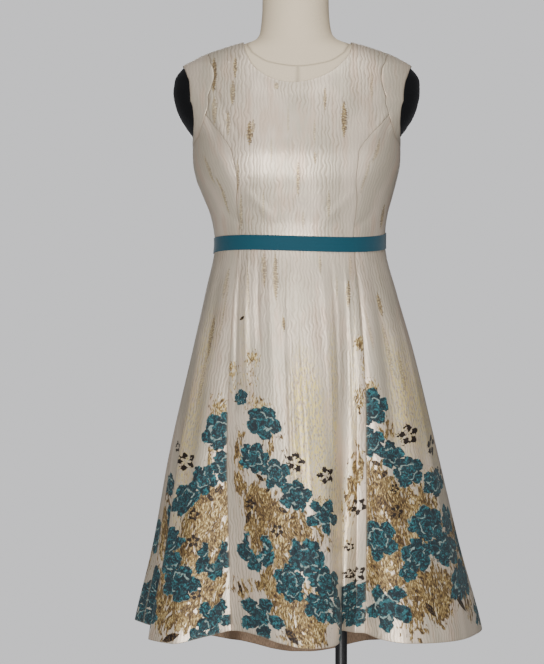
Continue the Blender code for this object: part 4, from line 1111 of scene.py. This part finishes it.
def satin_ground(shade, u, v):
    """The champagne colour with painted trough shade, and the height of the fine, swaying ripples."""
    sway = shade.grain(u, v, 56.0, 56.0, 0.0, 1.5)
    wide = shade.times_plus(sway, 0.012, u)
    ripple = shade.calc("SINE", shade.times(wide, 2 * math.pi / RIPPLE_WIDTH))
    fine = shade.grain(wide, v, 540.0, 52.0, 0.0, 3.0)
    height = shade.times_plus(fine, 1.2, shade.times(ripple, 0.36))
    areas = shade.grain(u, v, 16.0, 6.0, 3.1, 2.0)
    warm = shade.blend(shade.soft_step(areas, 0.42, 0.62), SATIN_GREY, SATIN)
    rose = shade.grain(u, v, 60.0, 14.0, 8.4, 2.0)
    tinted = shade.blend(shade.times(shade.soft_step(rose, 0.50, 0.70), 0.7), warm, SATIN_ROSE)
    deep = shade.grain(u, v, 17.0, 9.0, 4.4, 2.0)
    # Painted shade in the ripple troughs, in patches, as strong as the piece's ripple value allows.
    trough_shade = shade.times(shade.soft_step(height, 0.66, 0.20), shade.soft_step(deep, 0.34, 0.60))
    depth = shade.times(shade.value_of("ripple"), 0.52)
    return shade.blend(shade.times(trough_shade, depth), tinted, RIPPLE_SHADE), height


print("ripples", RIPPLE_WIDTH * 1000, "mm apart")

# %% [markdown]
# ## Gold thread
# The gold leaves are woven in short upright strokes of light and dark thread, with ragged edges. Drawing each
# leaf would look stiff. A soft noise that is longer up the cloth than across it, cut off at a level, gives
# the same crowded strokes, and dashes are single streaks of small rungs.

# %% Gold thread
BRUSH_SIZE = 0.0085
TUFT_SIZE = 0.0045


def strokes(shade, u, v, across, up, seed):
    """Fine upright brush strokes, about 0.5."""
    return shade.grain(u, v, across, up, seed, 3.0)


def gold_tone(shade, stroke, leaf_tone):
    """Gold thread from dark brown to straw, from the strokes and a value for each leaf."""
    value = shade.times_plus(shade.less(leaf_tone, 0.5), 0.30, stroke)
    tone = shade.blend(shade.soft_step(value, 0.36, 0.44), GOLD_DARK, GOLD_BROWN)
    tone = shade.blend(shade.soft_step(value, 0.48, 0.55), tone, GOLD)
    return shade.blend(shade.soft_step(value, 0.57, 0.67), tone, STRAW)


def brushed(shade, u, v, zone, size, seed):
    """A share for crowded brush strokes in a zone with ragged edges, and a slow change of their tone."""
    lean = shade.grain(u, v, 40.0, 26.0, seed, 1.0)
    x = shade.times(shade.times_plus(lean, 0.022, u), 1.0 / size)
    y = shade.times(v, 1.0 / size)
    cover = shade.noise(shade.join(shade.times(x, 1.8), shade.times(y, 0.62), seed), 1.0, 3.0)
    level = shade.times_plus(shade.less(cover, 0.5), 2.4, shade.times(zone, 0.76))
    tone = shade.noise(shade.join(shade.times(x, 0.55), shade.times(y, 0.34), 2 * seed), 1.0, 2.0)
    share = shade.times(shade.soft_step(level, 0.39, 0.50), shade.soft_step(zone, 0.06, 0.20))
    return share, tone, x


def gold_dash(shade, u, v):
    """A soft upright streak of small woven rungs."""
    x, y, strength = shade.places_of("dash")
    rungs = shade.grain(u, v, 230.0, 560.0, 2.2, 2.0)
    across = shade.calc("ABSOLUTE", shade.times_plus(rungs, 2.4, shade.plus(x, -1.2)))
    taper = shade.less(1.05, shade.times(y, y))
    share = shade.soft_step(shade.less(taper, across), -0.10, 0.25)
    paler = shade.times_plus(strength, -0.50, 1.05)
    return shade.times(share, shade.times(strength, 0.85)), gold_tone(shade, rungs, paler)


print("gold leaves", BRUSH_SIZE * 1000, "mm and tufts", TUFT_SIZE * 1000, "mm wide")

# %% [markdown]
# ## Dark blooms and leaves
# Small dark flowers and leaves look like blots on the satin. A bloom is a ring that swells five times on its
# way round, with a noise that spreads its edge. A leaf is the space between two arcs.

# %% Dark blooms and leaves
def polar(shade, x, y):
    reach = shade.calc("SQRT", shade.plus(shade.times(x, x), shade.times(y, y)))
    return reach, shade.calc("ARCTAN2", y, x)


def wave_of(shade, angle, times, shift, size):
    """size * cos(times * angle + shift)."""
    turned_angle = shade.times_plus(angle, times, shift)
    return shade.times(shade.calc("COSINE", turned_angle), size)


def dark_bloom(shade):
    """Five dark petals, like blots, round an open middle."""
    x, y, seed = shade.places_of("bloom")
    blot = shade.noise(shade.join(x, y, shade.times(seed, 19.0)), 3.2, 2.0)
    x = shade.times_plus(shade.less(blot, 0.5), 1.0, x)
    reach, angle = polar(shade, x, y)
    petals = wave_of(shade, angle, 5.0, shade.times(seed, 30.0), 0.20)
    ring = shade.calc("ABSOLUTE", shade.less(reach, 0.66))
    ragged = shade.times_plus(blot, 0.9, shade.less(petals, 0.17))
    return shade.soft_step(shade.less(ragged, ring), 0.0, 0.12)


def dark_leaf(shade):
    x, y, _ = shade.places_of("leaf")
    narrow = shade.times(shade.less(1.0, shade.times(x, x)), 0.46)
    return shade.soft_step(shade.less(narrow, shade.calc("ABSOLUTE", y)), 0.0, 0.10)


print(len(DARK_BLOOMS), "dark blooms and", len(DARK_LEAVES), "dark leaves")

# %% [markdown]
# ## Teal flowers
# Each flower has five round petals of teal thread, mottled with navy, with a pale line along some of their
# edges. The outline is again a radius that changes with the angle, pushed about by a noise so that no two
# are alike. Most are plain. Two other kinds are open between the petals, or are cups with a notch at the top.

# %% Teal flowers
OPEN_KIND, OPEN_SPREAD = 0.42, 0.035
CUP_KIND, CUP_SPREAD = 0.55, 0.045


def petals_of(shade, angle, shift, middle, swing):
    """The reach of five round petals at an angle, with a notch between each two."""
    lobes = shade.calc("ABSOLUTE", wave_of(shade, angle, 2.5, shift, 1.0))
    return shade.times_plus(shade.calc("SQRT", lobes), swing, middle), lobes


def teal_flower(shade, u, v):
    """The share and the colour of the teal flowers."""
    x, y, kind = shade.places_of("flower")
    shift = shade.times(kind, 71.0)
    for_x = shade.noise(shade.join(x, y, shift), 2.8, 3.0)
    for_y = shade.noise(shade.join(x, y, shade.plus(shift, 40.0)), 2.8, 3.0)
    x = shade.times_plus(shade.less(for_x, 0.5), 0.60, x)
    y = shade.times_plus(shade.less(for_y, 0.5), 0.60, y)
    reach, angle = polar(shade, x, y)
    edge, lobes = petals_of(shade, angle, shift, 0.66, 0.36)
    open_one = shade.calc("COMPARE", kind, OPEN_KIND, OPEN_SPREAD)
    deeper = shade.times(shade.less(lobes, 0.72), shade.times(open_one, 0.34))
    edge = shade.plus(edge, deeper)
    share = shade.soft_step(shade.less(edge, reach), -0.01, 0.06)
    cup = shade.calc("COMPARE", kind, CUP_KIND, CUP_SPREAD)
    notch_x, notch_y = shade.times(x, 2.9), shade.times_plus(y, 0.95, -0.72)
    notch = shade.soft_step(polar(shade, notch_x, notch_y)[0], 1.05, 0.85)
    share = shade.times(share, shade.less(1.0, shade.times(cup, notch)))

    mottle = shade.noise(shade.join(x, y, shade.plus(shift, 9.0)), 7.0, 4.0)
    threads = strokes(shade, u, v, 620.0, 420.0, 5.5)
    speck = shade.times_plus(threads, 0.8, mottle)
    colour = shade.blend(shade.soft_step(speck, 0.86, 0.96), NAVY, TEAL)
    colour = shade.blend(shade.times(shade.soft_step(speck, 0.96, 1.04), 0.8), colour, TEAL_BRIGHT)
    inner, _ = petals_of(shade, angle, shade.plus(shift, 1.3), 0.32, 0.20)
    from_inner = shade.less(reach, inner)
    shadow = shade.soft_step(shade.calc("ABSOLUTE", shade.less(from_inner, 0.12)), 0.14, 0.04)
    shadow = shade.calc("MAXIMUM", shadow, shade.soft_step(lobes, 0.26, 0.08))
    shadow = shade.calc("MAXIMUM", shadow, shade.soft_step(reach, 0.20, 0.10))
    colour = shade.blend(shade.times(shadow, 0.62), colour, NAVY)
    from_edge = shade.less(edge, reach)
    rim = shade.calc("MINIMUM", shade.calc("ABSOLUTE", from_inner), shade.calc("ABSOLUTE", from_edge))
    curl = shade.noise(shade.join(x, y, shade.plus(shift, 3.0)), 2.4, 1.0)
    pale = shade.times(shade.soft_step(rim, 0.060, 0.025), shade.soft_step(curl, 0.46, 0.54))
    return share, shade.blend(shade.times(pale, 0.54), colour, TEAL_PALE)


print(sum(abs(flower.kind - CUP_KIND) <= CUP_SPREAD for flower in TEAL_FLOWERS), "of the flowers are cups")

# %% [markdown]
# ## The brocade
# The layers cover one another from the ground up: satin, speckles, dashes, gold leaves, dark leaves, dark
# blooms and teal flowers. The gold leaves and the teal flowers stand a little higher and shine less.

# %% Brocade
SATIN_METALLIC = 0.52
SATIN_ROUGHNESS = 0.48
SEAM_SHADE = 0.55
WEAVE_HEIGHT = 0.00024


def make_brocade():
    shade = Shade("jacquard brocade")
    u, v = shade.weave()
    colour, height = satin_ground(shade, u, v)

    zone = shade.value_of("speckle")
    fleck = strokes(shade, u, v, 420.0, 150.0, 7.7)
    colour = shade.blend(shade.times(shade.soft_step(fleck, 0.47, 0.57), zone), colour, FLECK_PALE)
    fleck_share = shade.times(shade.soft_step(fleck, 0.43, 0.35), zone)
    colour = shade.blend(shade.times(fleck_share, 0.75), colour, FLECK_DEEP)

    dash, dash_tone = gold_dash(shade, u, v)
    colour = shade.blend(dash, colour, dash_tone)

    leaf = 0.0
    for zone, size, seed, paler in (("gold", BRUSH_SIZE, 1.7, 0.0), ("puff", TUFT_SIZE, 6.2, 0.22)):
        share, tone, x = brushed(shade, u, v, shade.value_of(zone), size, seed)
        stroke = strokes(shade, x, v, 650.0 * size, 210.0, 5.5)
        colour = shade.blend(share, colour, gold_tone(shade, stroke, shade.plus(tone, paler)))
        leaf = shade.calc("MAXIMUM", leaf, share)

    speck = shade.soft_step(strokes(shade, u, v, 420.0, 260.0, 9.9), 0.50, 0.60)
    colour = shade.blend(dark_leaf(shade), colour, shade.blend(speck, BROWN_BLACK, GOLD_BROWN))
    colour = shade.blend(dark_bloom(shade), colour, BROWN_BLACK)
    flower, petal = teal_flower(shade, u, v)
    colour = shade.blend(flower, colour, petal)

    # Painted shade along the seams and the panels' edges.
    seam = shade.value_of("seam")
    colour = shade.blend(shade.times(seam, SEAM_SHADE), colour, RIPPLE_SHADE)
    woven = shade.times_plus(flower, 0.7, height)
    woven = shade.times_plus(leaf, 0.5, woven)
    shade.bump(woven, WEAVE_HEIGHT, 0.8)
    shade.feed(shade.skin.inputs["Base Color"], colour)
    thread_shine = shade.times_plus(leaf, -0.12, SATIN_METALLIC)
    shade.feed(shade.skin.inputs["Metallic"], shade.times_plus(flower, -0.50, thread_shine))
    duller = shade.times_plus(leaf, 0.14, SATIN_ROUGHNESS)
    shade.feed(shade.skin.inputs["Roughness"], shade.times_plus(flower, 0.27, duller))
    shade.skin.inputs["Sheen Weight"].default_value = 0.05
    shade.skin.inputs["Specular IOR Level"].default_value = 0.45
    return shade.material


brocade = make_brocade()
print("brocade", len(brocade.node_tree.nodes), "shader nodes")

# %% [markdown]
# ## Plain finishes
# The cloth's reverse, the ribbon and the form's linen are plain weaves with a fine grain. The arm plates are
# moulded and glossy, the stand is enamelled and the zip is cast metal. One function makes the cloths and
# another the hard finishes.


# %% Plain finishes
def make_plain_cloth(name, colour, darker, roughness, across=900.0, up=900.0, sheen=0.0):
    """A plain woven cloth, with a fine grain and painted shade along its seams."""
    shade = Shade(name, roughness)
    u, v = shade.weave()
    grain = shade.grain(u, v, across, up, 0.0, 3.0)
    woven = shade.blend(shade.soft_step(grain, 0.35, 0.65), darker, colour)
    # Painted shade along the seams, from the piece's seam value.
    seam = shade.times(shade.value_of("seam"), 0.5)
    shade.feed(shade.skin.inputs["Base Color"], shade.blend(seam, woven, tuple(0.45 * v for v in darker)))
    shade.bump(grain, 0.0002, 0.6)
    shade.skin.inputs["Specular IOR Level"].default_value = 0.2
    shade.skin.inputs["Sheen Weight"].default_value = sheen
    return shade.material


def make_hard(name, colour, roughness, metallic=0.0):
    """A painted, moulded or cast finish, with a trace of unevenness."""
    shade = Shade(name, roughness, metallic)
    uneven = shade.noise(shade.place(), 40.0, 3.0)
    shade.feed(shade.skin.inputs["Base Color"], colour)
    shade.feed(shade.skin.inputs["Roughness"], shade.times_plus(uneven, 0.10, roughness - 0.05))
    return shade.material


reverse = make_plain_cloth("brocade reverse", shown(146, 122, 100), shown(120, 100, 82), 0.7, 700.0, 160.0)
ribbon = make_plain_cloth("teal ribbon", shown(16, 68, 82), shown(10, 56, 70), 0.75, 700.0, 1300.0, 0.15)
linen = make_plain_cloth("linen cover", shown(214, 198, 172), shown(198, 182, 156), 0.85)
gloss = make_hard("black plates", shown(14, 14, 15), 0.25)
enamel = make_hard("black enamel", shown(18, 18, 20), 0.40)
metal = make_hard("zip metal", shown(176, 160, 124), 0.34, 1.0)
print(len(bpy.data.materials), "materials")

# %% [markdown]
# ## Sewing the dress
# Each panel becomes one piece of cloth. The skirt's gores carry the flowers; the bodice carries only the
# small gold dashes.

# %% Panels
for name, panel in panels.items():
    points = turned_in(panel.points, panel.normals)
    piece = grid_object(name + "_cloth", points, (brocade, reverse), weave=panel.weave)
    for motif in FACE_MOTIFS:
        draw_motifs(piece, name, motif)
    for motif in SOFT_ZONES:
        draw_zone(piece, name, motif)
    # Painted shade along the panel's seams and edges.
    draw_values(piece, "seam", np.exp(-edge_distances(panel.points)[0] / SEAM_SHADE_REACH))
    # The ripple value sets only the painted shade in the ripple troughs; it is weaker on the bodice's front
    # side panels.
    faint_ripple_shade = name.startswith("bodice_front_side")
    draw_values(piece, "ripple", np.full(points.shape[:2], CALM_RIPPLE_SHADE if faint_ripple_shade else 1.0))
    cut = (float(np.ptp(panel.weave[..., 0])), float(edge_distances(panel.points)[2][-1].max()))
    sewn_on(piece, cut, SHELL, name)
print("brocade that shows", round(sum(area for _, _, area in cloth_pieces.values()), 3), "m2")

# %% [markdown]
# ## Armhole bands
# A strip of the same cloth lies round each armhole. It is a ring of grid rows between the armhole's edge and
# its seam, closed under the arm, and it carries no motifs.

# %% Armhole bands
BAND_ROWS = 12
BAND_STATIONS = 160
BAND_WIDTH = 0.018


def ring_places(loops, side, angles):
    """The turns and heights of rings round an arm opening."""
    places = np.stack([loop_places(loop, side, angles) for loop in loops])
    return np.moveaxis(near_turn(places, 0.0 if side > 0 else 180.0), -1, 0)


for word, side in (("right", 1), ("left", -1)):
    angles = np.linspace(-90.0, 270.0, BAND_STATIONS + 1)
    loops = [
        Loop(*(seam + (edge - seam) * share for seam, edge in zip(ARMHOLE_SEAM, ARMHOLE_EDGE)))
        for share in edge_closer(BAND_ROWS, BAND_WIDTH)
    ]
    turn, height = ring_places(loops, side, angles)
    normals = outward(form_point, turn, height)
    points = bodice_point(turn, height, CLOTH)
    points[:, -1] = points[:, 0]
    _, around, across = edge_distances(points)
    points = turned_in(points, normals, closed=True)
    weave = np.stack([points[..., 0] - BODY_X, points[..., 2]], axis=-1)
    piece = grid_object(f"armhole_band_{word}_cloth", points, (brocade, reverse), closed=True, weave=weave)
    for motif in FACE_MOTIFS:
        draw_motifs(piece, piece.name, motif)
    # The bands get the weaker painted shade in their ripple troughs.
    draw_values(piece, "ripple", np.full(points.shape[:2], CALM_RIPPLE_SHADE))
    # Painted shade along the band's seam and its outer edge.
    draw_values(piece, "seam", np.exp(-edge_distances(points, closed=True)[0] / SEAM_SHADE_REACH))
    cut = (float(around[:, -1].max()), float(across[-1].max()))
    sewn_on(piece, cut, SHELL, "armhole_band_" + word)
print("armhole bands", round(float(around[:, -1].max()), 3), "m round")

# %% [markdown]
# ## The waistband
# A ribbon lies over the waist seam and stops at the zip. Its edges are a little rounded, and it follows the
# small creases below it.

# %% Waistband
WAISTBAND_DEPTH = 0.026
WAISTBAND_ROWS = 14
BAND_GAP = 0.0008
BAND_CLOTH = 0.0011
RIBBON_THICK = BAND_CLOTH * 0.9


def band_points(turn, rise, out):
    height = waist_height(turn) + rise
    above = bodice_point(turn, height, CLOTH + BAND_GAP + out)
    drop = np.maximum(-rise, 0.0) / (waist_height(turn) - FOLDS["hem"](turn))
    below = skirt_point(turn, drop, CLOTH + BAND_GAP + out)
    return np.where((rise > 0)[..., None], above, below)


rises = WAISTBAND_DEPTH * (0.5 - edge_closer(WAISTBAND_ROWS, WAISTBAND_DEPTH))
turn, rise = np.meshgrid(np.linspace(90.0, 450.0, 361), rises)
points = band_points(turn, rise, BAND_CLOTH)
_, around, across = edge_distances(points)
normals = outward(skirt_face, turn, np.minimum(rise, 0.0))
waistband = grid_object(
    "waistband_cloth", turned_in(points, normals), (ribbon,), weave=np.stack([around, across], axis=-1))
band_length = float(around[:, -1].max())
sewn_on(waistband, (band_length, WAISTBAND_DEPTH), RIBBON_THICK, "waistband")
print("waistband", round(band_length, 3), "m long")

# %% [markdown]
# ## The form under the dress
# The padded form has a linen cover, sewn up the middle of the front and back, and a separate neck piece. Its
# seams are fine grooves that are pressed into the surface and have painted shade in them. The rings of points
# stand closest at the seams.

# %% Form cover
FORM_BOTTOM = 0.800
NECK_TOP = 1.500
NECK_EDGE_ROUND = 0.006
ARMHOLE_PLATE = Loop(1.2975, 0.0650, 0.0665, 0.45)
GROOVE_DEPTH = 0.0008
GROOVE_REACH = 0.0012
FORM_STATIONS = 216
FORM_HALF_DEPTH = 0.09
EVEN_SHARE = 0.80
COVER_GAP = 0.0003


def groove(distance):
    return np.exp(-((distance / GROOVE_REACH) ** 2))


def upright_seams(turn):
    """How far each place of the torso is from the seams up the middles of its front and back."""
    return np.minimum(np.abs(turn - 270.0), np.abs(turn - 90.0)) * DEG * FORM_HALF_DEPTH


def outward_of_rings(points):
    """Level directions away from the body's middle line."""
    return unit((points - np.array([BODY_X, 0.0, 0.0])) * np.array([1.0, 1.0, 0.0]))


def cover_turns():
    even = np.linspace(0.0, 360.0, FORM_STATIONS + 1)
    near = np.array([-1.2, -0.8, -0.4, 0.4, 0.8, 1.2])
    beside = np.concatenate([90.0 + near, 270.0 + near])
    return np.unique(np.concatenate([even, beside]))


def cover_piece(name, points, seams, low_middle, high_middle, node):
    """A cover of rings up the form, with a ring shrunk to a point at either end."""
    points = points - outward_of_rings(points) * (GROOVE_DEPTH * seams)[..., None]
    points[:, -1] = points[:, 0]
    low, high = (np.broadcast_to(middle, (1, *points.shape[1:])) for middle in (low_middle, high_middle))
    whole = np.concatenate([low, points, high])
    _, around, up = edge_distances(whole)
    piece = grid_object(name, whole, (linen,), closed=True, weave=np.stack([around, up], axis=-1))
    # The grooves also darken the linen, as painted shade.
    draw_values(piece, "seam", np.pad(seams, ((1, 1), (0, 0))))
    stands_for(piece, node)
    return piece


turns = cover_turns()
low_rises = np.linspace(0.0, 1.0, 60) * EVEN_SHARE
high_rises = EVEN_SHARE + (1 - EVEN_SHARE) * np.sin(np.linspace(0.0, math.pi / 2, 50)[1:])
rises = np.concatenate([low_rises, high_rises])
turn, rise = np.meshgrid(turns, rises)
seam_height = NECK_SEAM(turn)
height = FORM_BOTTOM + (seam_height - FORM_BOTTOM) * rise
middle_height = float(NECK_SEAM(np.array([0.0, 90.0, 180.0, 270.0])).mean())
neck_x = BODY_X + float(FORM["lean"](middle_height))
seams = np.maximum(groove(upright_seams(turn)), groove(seam_height - height))
torso = cover_piece(
    "form_torso_cover", form_point(turn, height), seams,
    np.array([BODY_X, 0.0, FORM_BOTTOM]), np.array([neck_x, 0.0, middle_height]),
    "form_torso",
)

rise = np.linspace(0.0, 1.0, 40)[:, None] * np.ones_like(turns)[None]
turn = turns[None] * np.ones_like(rise)
seam_height = NECK_SEAM(turn) + COVER_GAP
height = seam_height + (NECK_TOP - NECK_EDGE_ROUND - seam_height) * rise**1.6
points = form_point(turn, height)
seams = groove(height - seam_height)
top_middle = np.array([BODY_X + float(FORM["lean"](NECK_TOP)), 0.0, NECK_TOP])
rings = [points]
for angle in np.linspace(15.0, 90.0, 6) * DEG:
    ring = points[-1:].copy()
    inwards = unit((top_middle - ring) * np.array([1.0, 1.0, 0.0]))
    ring += inwards * NECK_EDGE_ROUND * (1 - math.cos(angle))
    ring[..., 2] = NECK_TOP - NECK_EDGE_ROUND + NECK_EDGE_ROUND * math.sin(angle)
    rings.append(ring)
neck = cover_piece(
    "form_neck_cover", np.concatenate(rings), np.pad(seams, ((0, 6), (0, 0)), "edge"),
    np.array([neck_x, 0.0, middle_height + COVER_GAP]), top_middle,
    "form_neck",
)
print("form", len(torso.data.polygons) + len(neck.data.polygons), "faces")

# %% [markdown]
# ## Arm plates
# Glossy black plates close the form's arm openings. Each is made of rings that follow the body's own curve,
# stand a little proud of it and come down to it at the rim.

# %% Arm plates
PLATE_PROUD = 0.0006
PLATE_THICK = 0.004
for word, side in (("right", 1), ("left", -1)):
    shares = np.sin(np.linspace(0.0, math.pi / 2, 26))
    middle, half_height, half_depth, low_spread = ARMHOLE_PLATE
    loops = [Loop(middle, half_height * share, half_depth * share, low_spread) for share in shares]
    turn, height = ring_places(loops, side, np.linspace(0.0, 360.0, 121))
    lift = PLATE_PROUD * (1 - shares**12)[:, None, None]
    points = form_point(turn, height) + outward(form_point, turn, height) * lift
    points[:, -1] = points[:, 0]
    plate = grid_object(f"arm_plate_{word}_shell", points, (gloss,), closed=True)
    give_thickness(plate, PLATE_THICK)
    stands_for(plate, "arm_plate_" + word)
print("arm plates", PLATE_THICK * 1000, "mm thick")

# %% [markdown]
# ## The stand
# The base, the pole and the flange are turned steel parts with black enamel. A profile of a few points is
# spun round the pole's axis, which is how a lathe makes them, and its rims are rounded.

# %% Stand
POLE_RADIUS = 0.0102
FLANGE_RADIUS = 0.036
FLANGE_THICK = 0.009
BASE_RADIUS = 0.190
BASE_THICK = 0.008
RIM_ROUND = 0.0025
ROUND_STEPS = 6
SHARP_ANGLE = 35 * DEG
BOSS_RADIUS = 0.022
BOSS_TOP = 0.038
GAP = 0.0003


def rounded(radius, height, side):
    """Points of a disc's rounded rim, from its face outwards. side is 1 for its top and -1 for its bottom."""
    angles = np.linspace(0.0, math.pi / 2, ROUND_STEPS + 1)
    return [
        (radius - RIM_ROUND * (1 - math.sin(angle)), height - side * RIM_ROUND * (1 - math.cos(angle)))
        for angle in angles
    ]


def turned(name, profile, node, segments):
    """A piece turned on a lathe: the profile is spun round the pole's axis."""
    mesh = bmesh.new()
    verts = [mesh.verts.new((radius, 0.0, height)) for radius, height in profile]
    edges = [mesh.edges.new(pair) for pair in zip(verts, verts[1:])]
    bmesh.ops.spin(
        mesh, geom=verts + edges, cent=(0, 0, 0), axis=(0, 0, 1), angle=2 * math.pi,
        steps=segments, use_merge=True, use_duplicate=False,
    )
    bmesh.ops.remove_doubles(mesh, verts=mesh.verts, dist=SAME_PLACE)
    bmesh.ops.recalc_face_normals(mesh, faces=mesh.faces)
    piece = object_from(mesh, name, (enamel,))
    piece.data.shade_smooth()
    piece.data.set_sharp_from_angle(angle=SHARP_ANGLE)
    stands_for(piece, node)


flange_top = FORM_BOTTOM - GAP
flange_low = flange_top - FLANGE_THICK
pole_low, pole_high = BASE_THICK + GAP, flange_low - GAP
turned("stand_base_turned", [
    (0.0, 0.0), *rounded(BASE_RADIUS, 0.0, -1), *rounded(BASE_RADIUS, BASE_THICK, 1)[::-1],
    (BOSS_RADIUS, BASE_THICK), *rounded(BOSS_RADIUS, BOSS_TOP, 1)[::-1],
    (POLE_RADIUS + GAP, BOSS_TOP), (POLE_RADIUS + GAP, BASE_THICK), (0.0, BASE_THICK),
], "stand_base", 128)
turned("stand_flange_turned", [
    (0.0, flange_low), *rounded(FLANGE_RADIUS, flange_low, -1),
    (FLANGE_RADIUS, flange_top), (0.0, flange_top),
], "stand_flange", 64)
turned("stand_pole_turned", [
    (0.0, pole_low), (POLE_RADIUS, pole_low), (POLE_RADIUS, pole_high), (0.0, pole_high),
], "stand_pole", 48)
print("pole", round(pole_high - pole_low, 3), "m long")

# %% [markdown]
# ## The zip
# The back closes with a zip that is hidden in the seam, so only its small slider and pull show. These are
# hard cast parts of the frame. They keep their own shape and get a soft bevel and a brass finish.

# %% Zip
CAST_EDGE = 0.00022
CAST_ANGLE = 40 * DEG
for name in ("zip_slider", "zip_pull"):
    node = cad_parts[name]
    node.data.materials.clear()
    node.data.materials.append(metal)
    bevel = node.modifiers.new("cast edges", "BEVEL")
    bevel.width = CAST_EDGE
    bevel.segments = 3
    bevel.limit_method = "ANGLE"
    bevel.angle_limit = CAST_ANGLE

# %% [markdown]
# ## Floor, light and view
# The dress stands on a plain pale floor, before an even grey ground. The main light comes from the front,
# tall and soft, so the sides of the dress fall off and the folds stay gentle. Weaker ones from the sides and
# above lift the shadows, and one lights the back.

# %% Studio
FLOOR_RADIUS = 1.9
FLOOR_GAP = 0.0005
SEEN_GREY = (0.83, 0.83, 0.85, 1.0)
SKY_TINT = (0.93, 0.94, 1.0, 1.0)
SKY_STRENGTH = 0.10
floor_finish = Shade("pale floor", 0.9)
grain = floor_finish.noise(floor_finish.place(), 30.0, 3.0)
tone = floor_finish.blend(grain, shown(204, 204, 206), shown(216, 216, 219))
floor_finish.feed(floor_finish.skin.inputs["Base Color"], tone)
mesh = bmesh.new()
bmesh.ops.create_circle(mesh, cap_ends=True, radius=FLOOR_RADIUS, segments=128)
bmesh.ops.recalc_face_normals(mesh, faces=mesh.faces)
floor = object_from(mesh, "floor", (floor_finish.material,))
floor.location = (BODY_X, 0.0, -FLOOR_GAP)


def soft_light(name, place, target, size, power):
    light = bpy.data.lights.new(name, "AREA")
    light.shape = "RECTANGLE"
    light.size, light.size_y = size
    light.energy = power
    lamp = bpy.data.objects.new(name, light)
    lamp.location = place
    lamp.rotation_euler = (Vector(target) - Vector(place)).to_track_quat("-Z", "Y").to_euler()
    lamp.visible_camera = False
    bpy.context.scene.collection.objects.link(lamp)
    return lamp


lamps = [
    soft_light("key", (BODY_X - 0.50, -3.6, 0.85), (BODY_X, 0.0, 1.20), (1.0, 1.6), 170.0),
    soft_light("left fill", (-2.8, -1.2, 1.0), (BODY_X, 0.0, 0.7), (1.4, 2.0), 2.0),
    soft_light("right fill", (2.3, -2.2, 1.2), (BODY_X, 0.0, 0.8), (1.2, 1.8), 18.0),
    soft_light("top light", (BODY_X + 0.2, -0.9, 3.3), (BODY_X, 0.0, 1.3), (1.2, 1.2), 34.0),
    soft_light("back light", (BODY_X, 3.8, 1.6), (BODY_X, 0.0, 0.95), (1.6, 2.4), 75.0),
]
world = bpy.data.worlds.new("studio")
world.use_nodes = True
light_side = world.node_tree.nodes["Background"]
light_side.inputs["Color"].default_value = SKY_TINT
light_side.inputs["Strength"].default_value = SKY_STRENGTH
seen_side = world.node_tree.nodes.new("ShaderNodeBackground")
seen_side.inputs["Color"].default_value = SEEN_GREY
path = world.node_tree.nodes.new("ShaderNodeLightPath")
chosen = world.node_tree.nodes.new("ShaderNodeMixShader")
sources = (path.outputs["Is Camera Ray"], light_side.outputs[0], seen_side.outputs[0])
for source, socket in zip(sources, chosen.inputs):
    world.node_tree.links.new(source, socket)
world.node_tree.links.new(chosen.outputs[0], world.node_tree.nodes["World Output"].inputs["Surface"])
bpy.context.scene.world = world
print(len(lamps), "soft lights")

# %% [markdown]
# ## What the cloth is
# Each piece of cloth is printed with its flat size and area, so that its real cut is known. Last, the areas
# of the form's two covers are printed.

# %% Sizes
for name, (piece, (width, length), area) in cloth_pieces.items():
    print(f"{name}: {width:.3f} x {length:.3f} m, {area:.4f} m2")
for piece, name in ((torso, "torso cover"), (neck, "neck cover")):
    print(name, round(area_of(piece), 3), "m2")
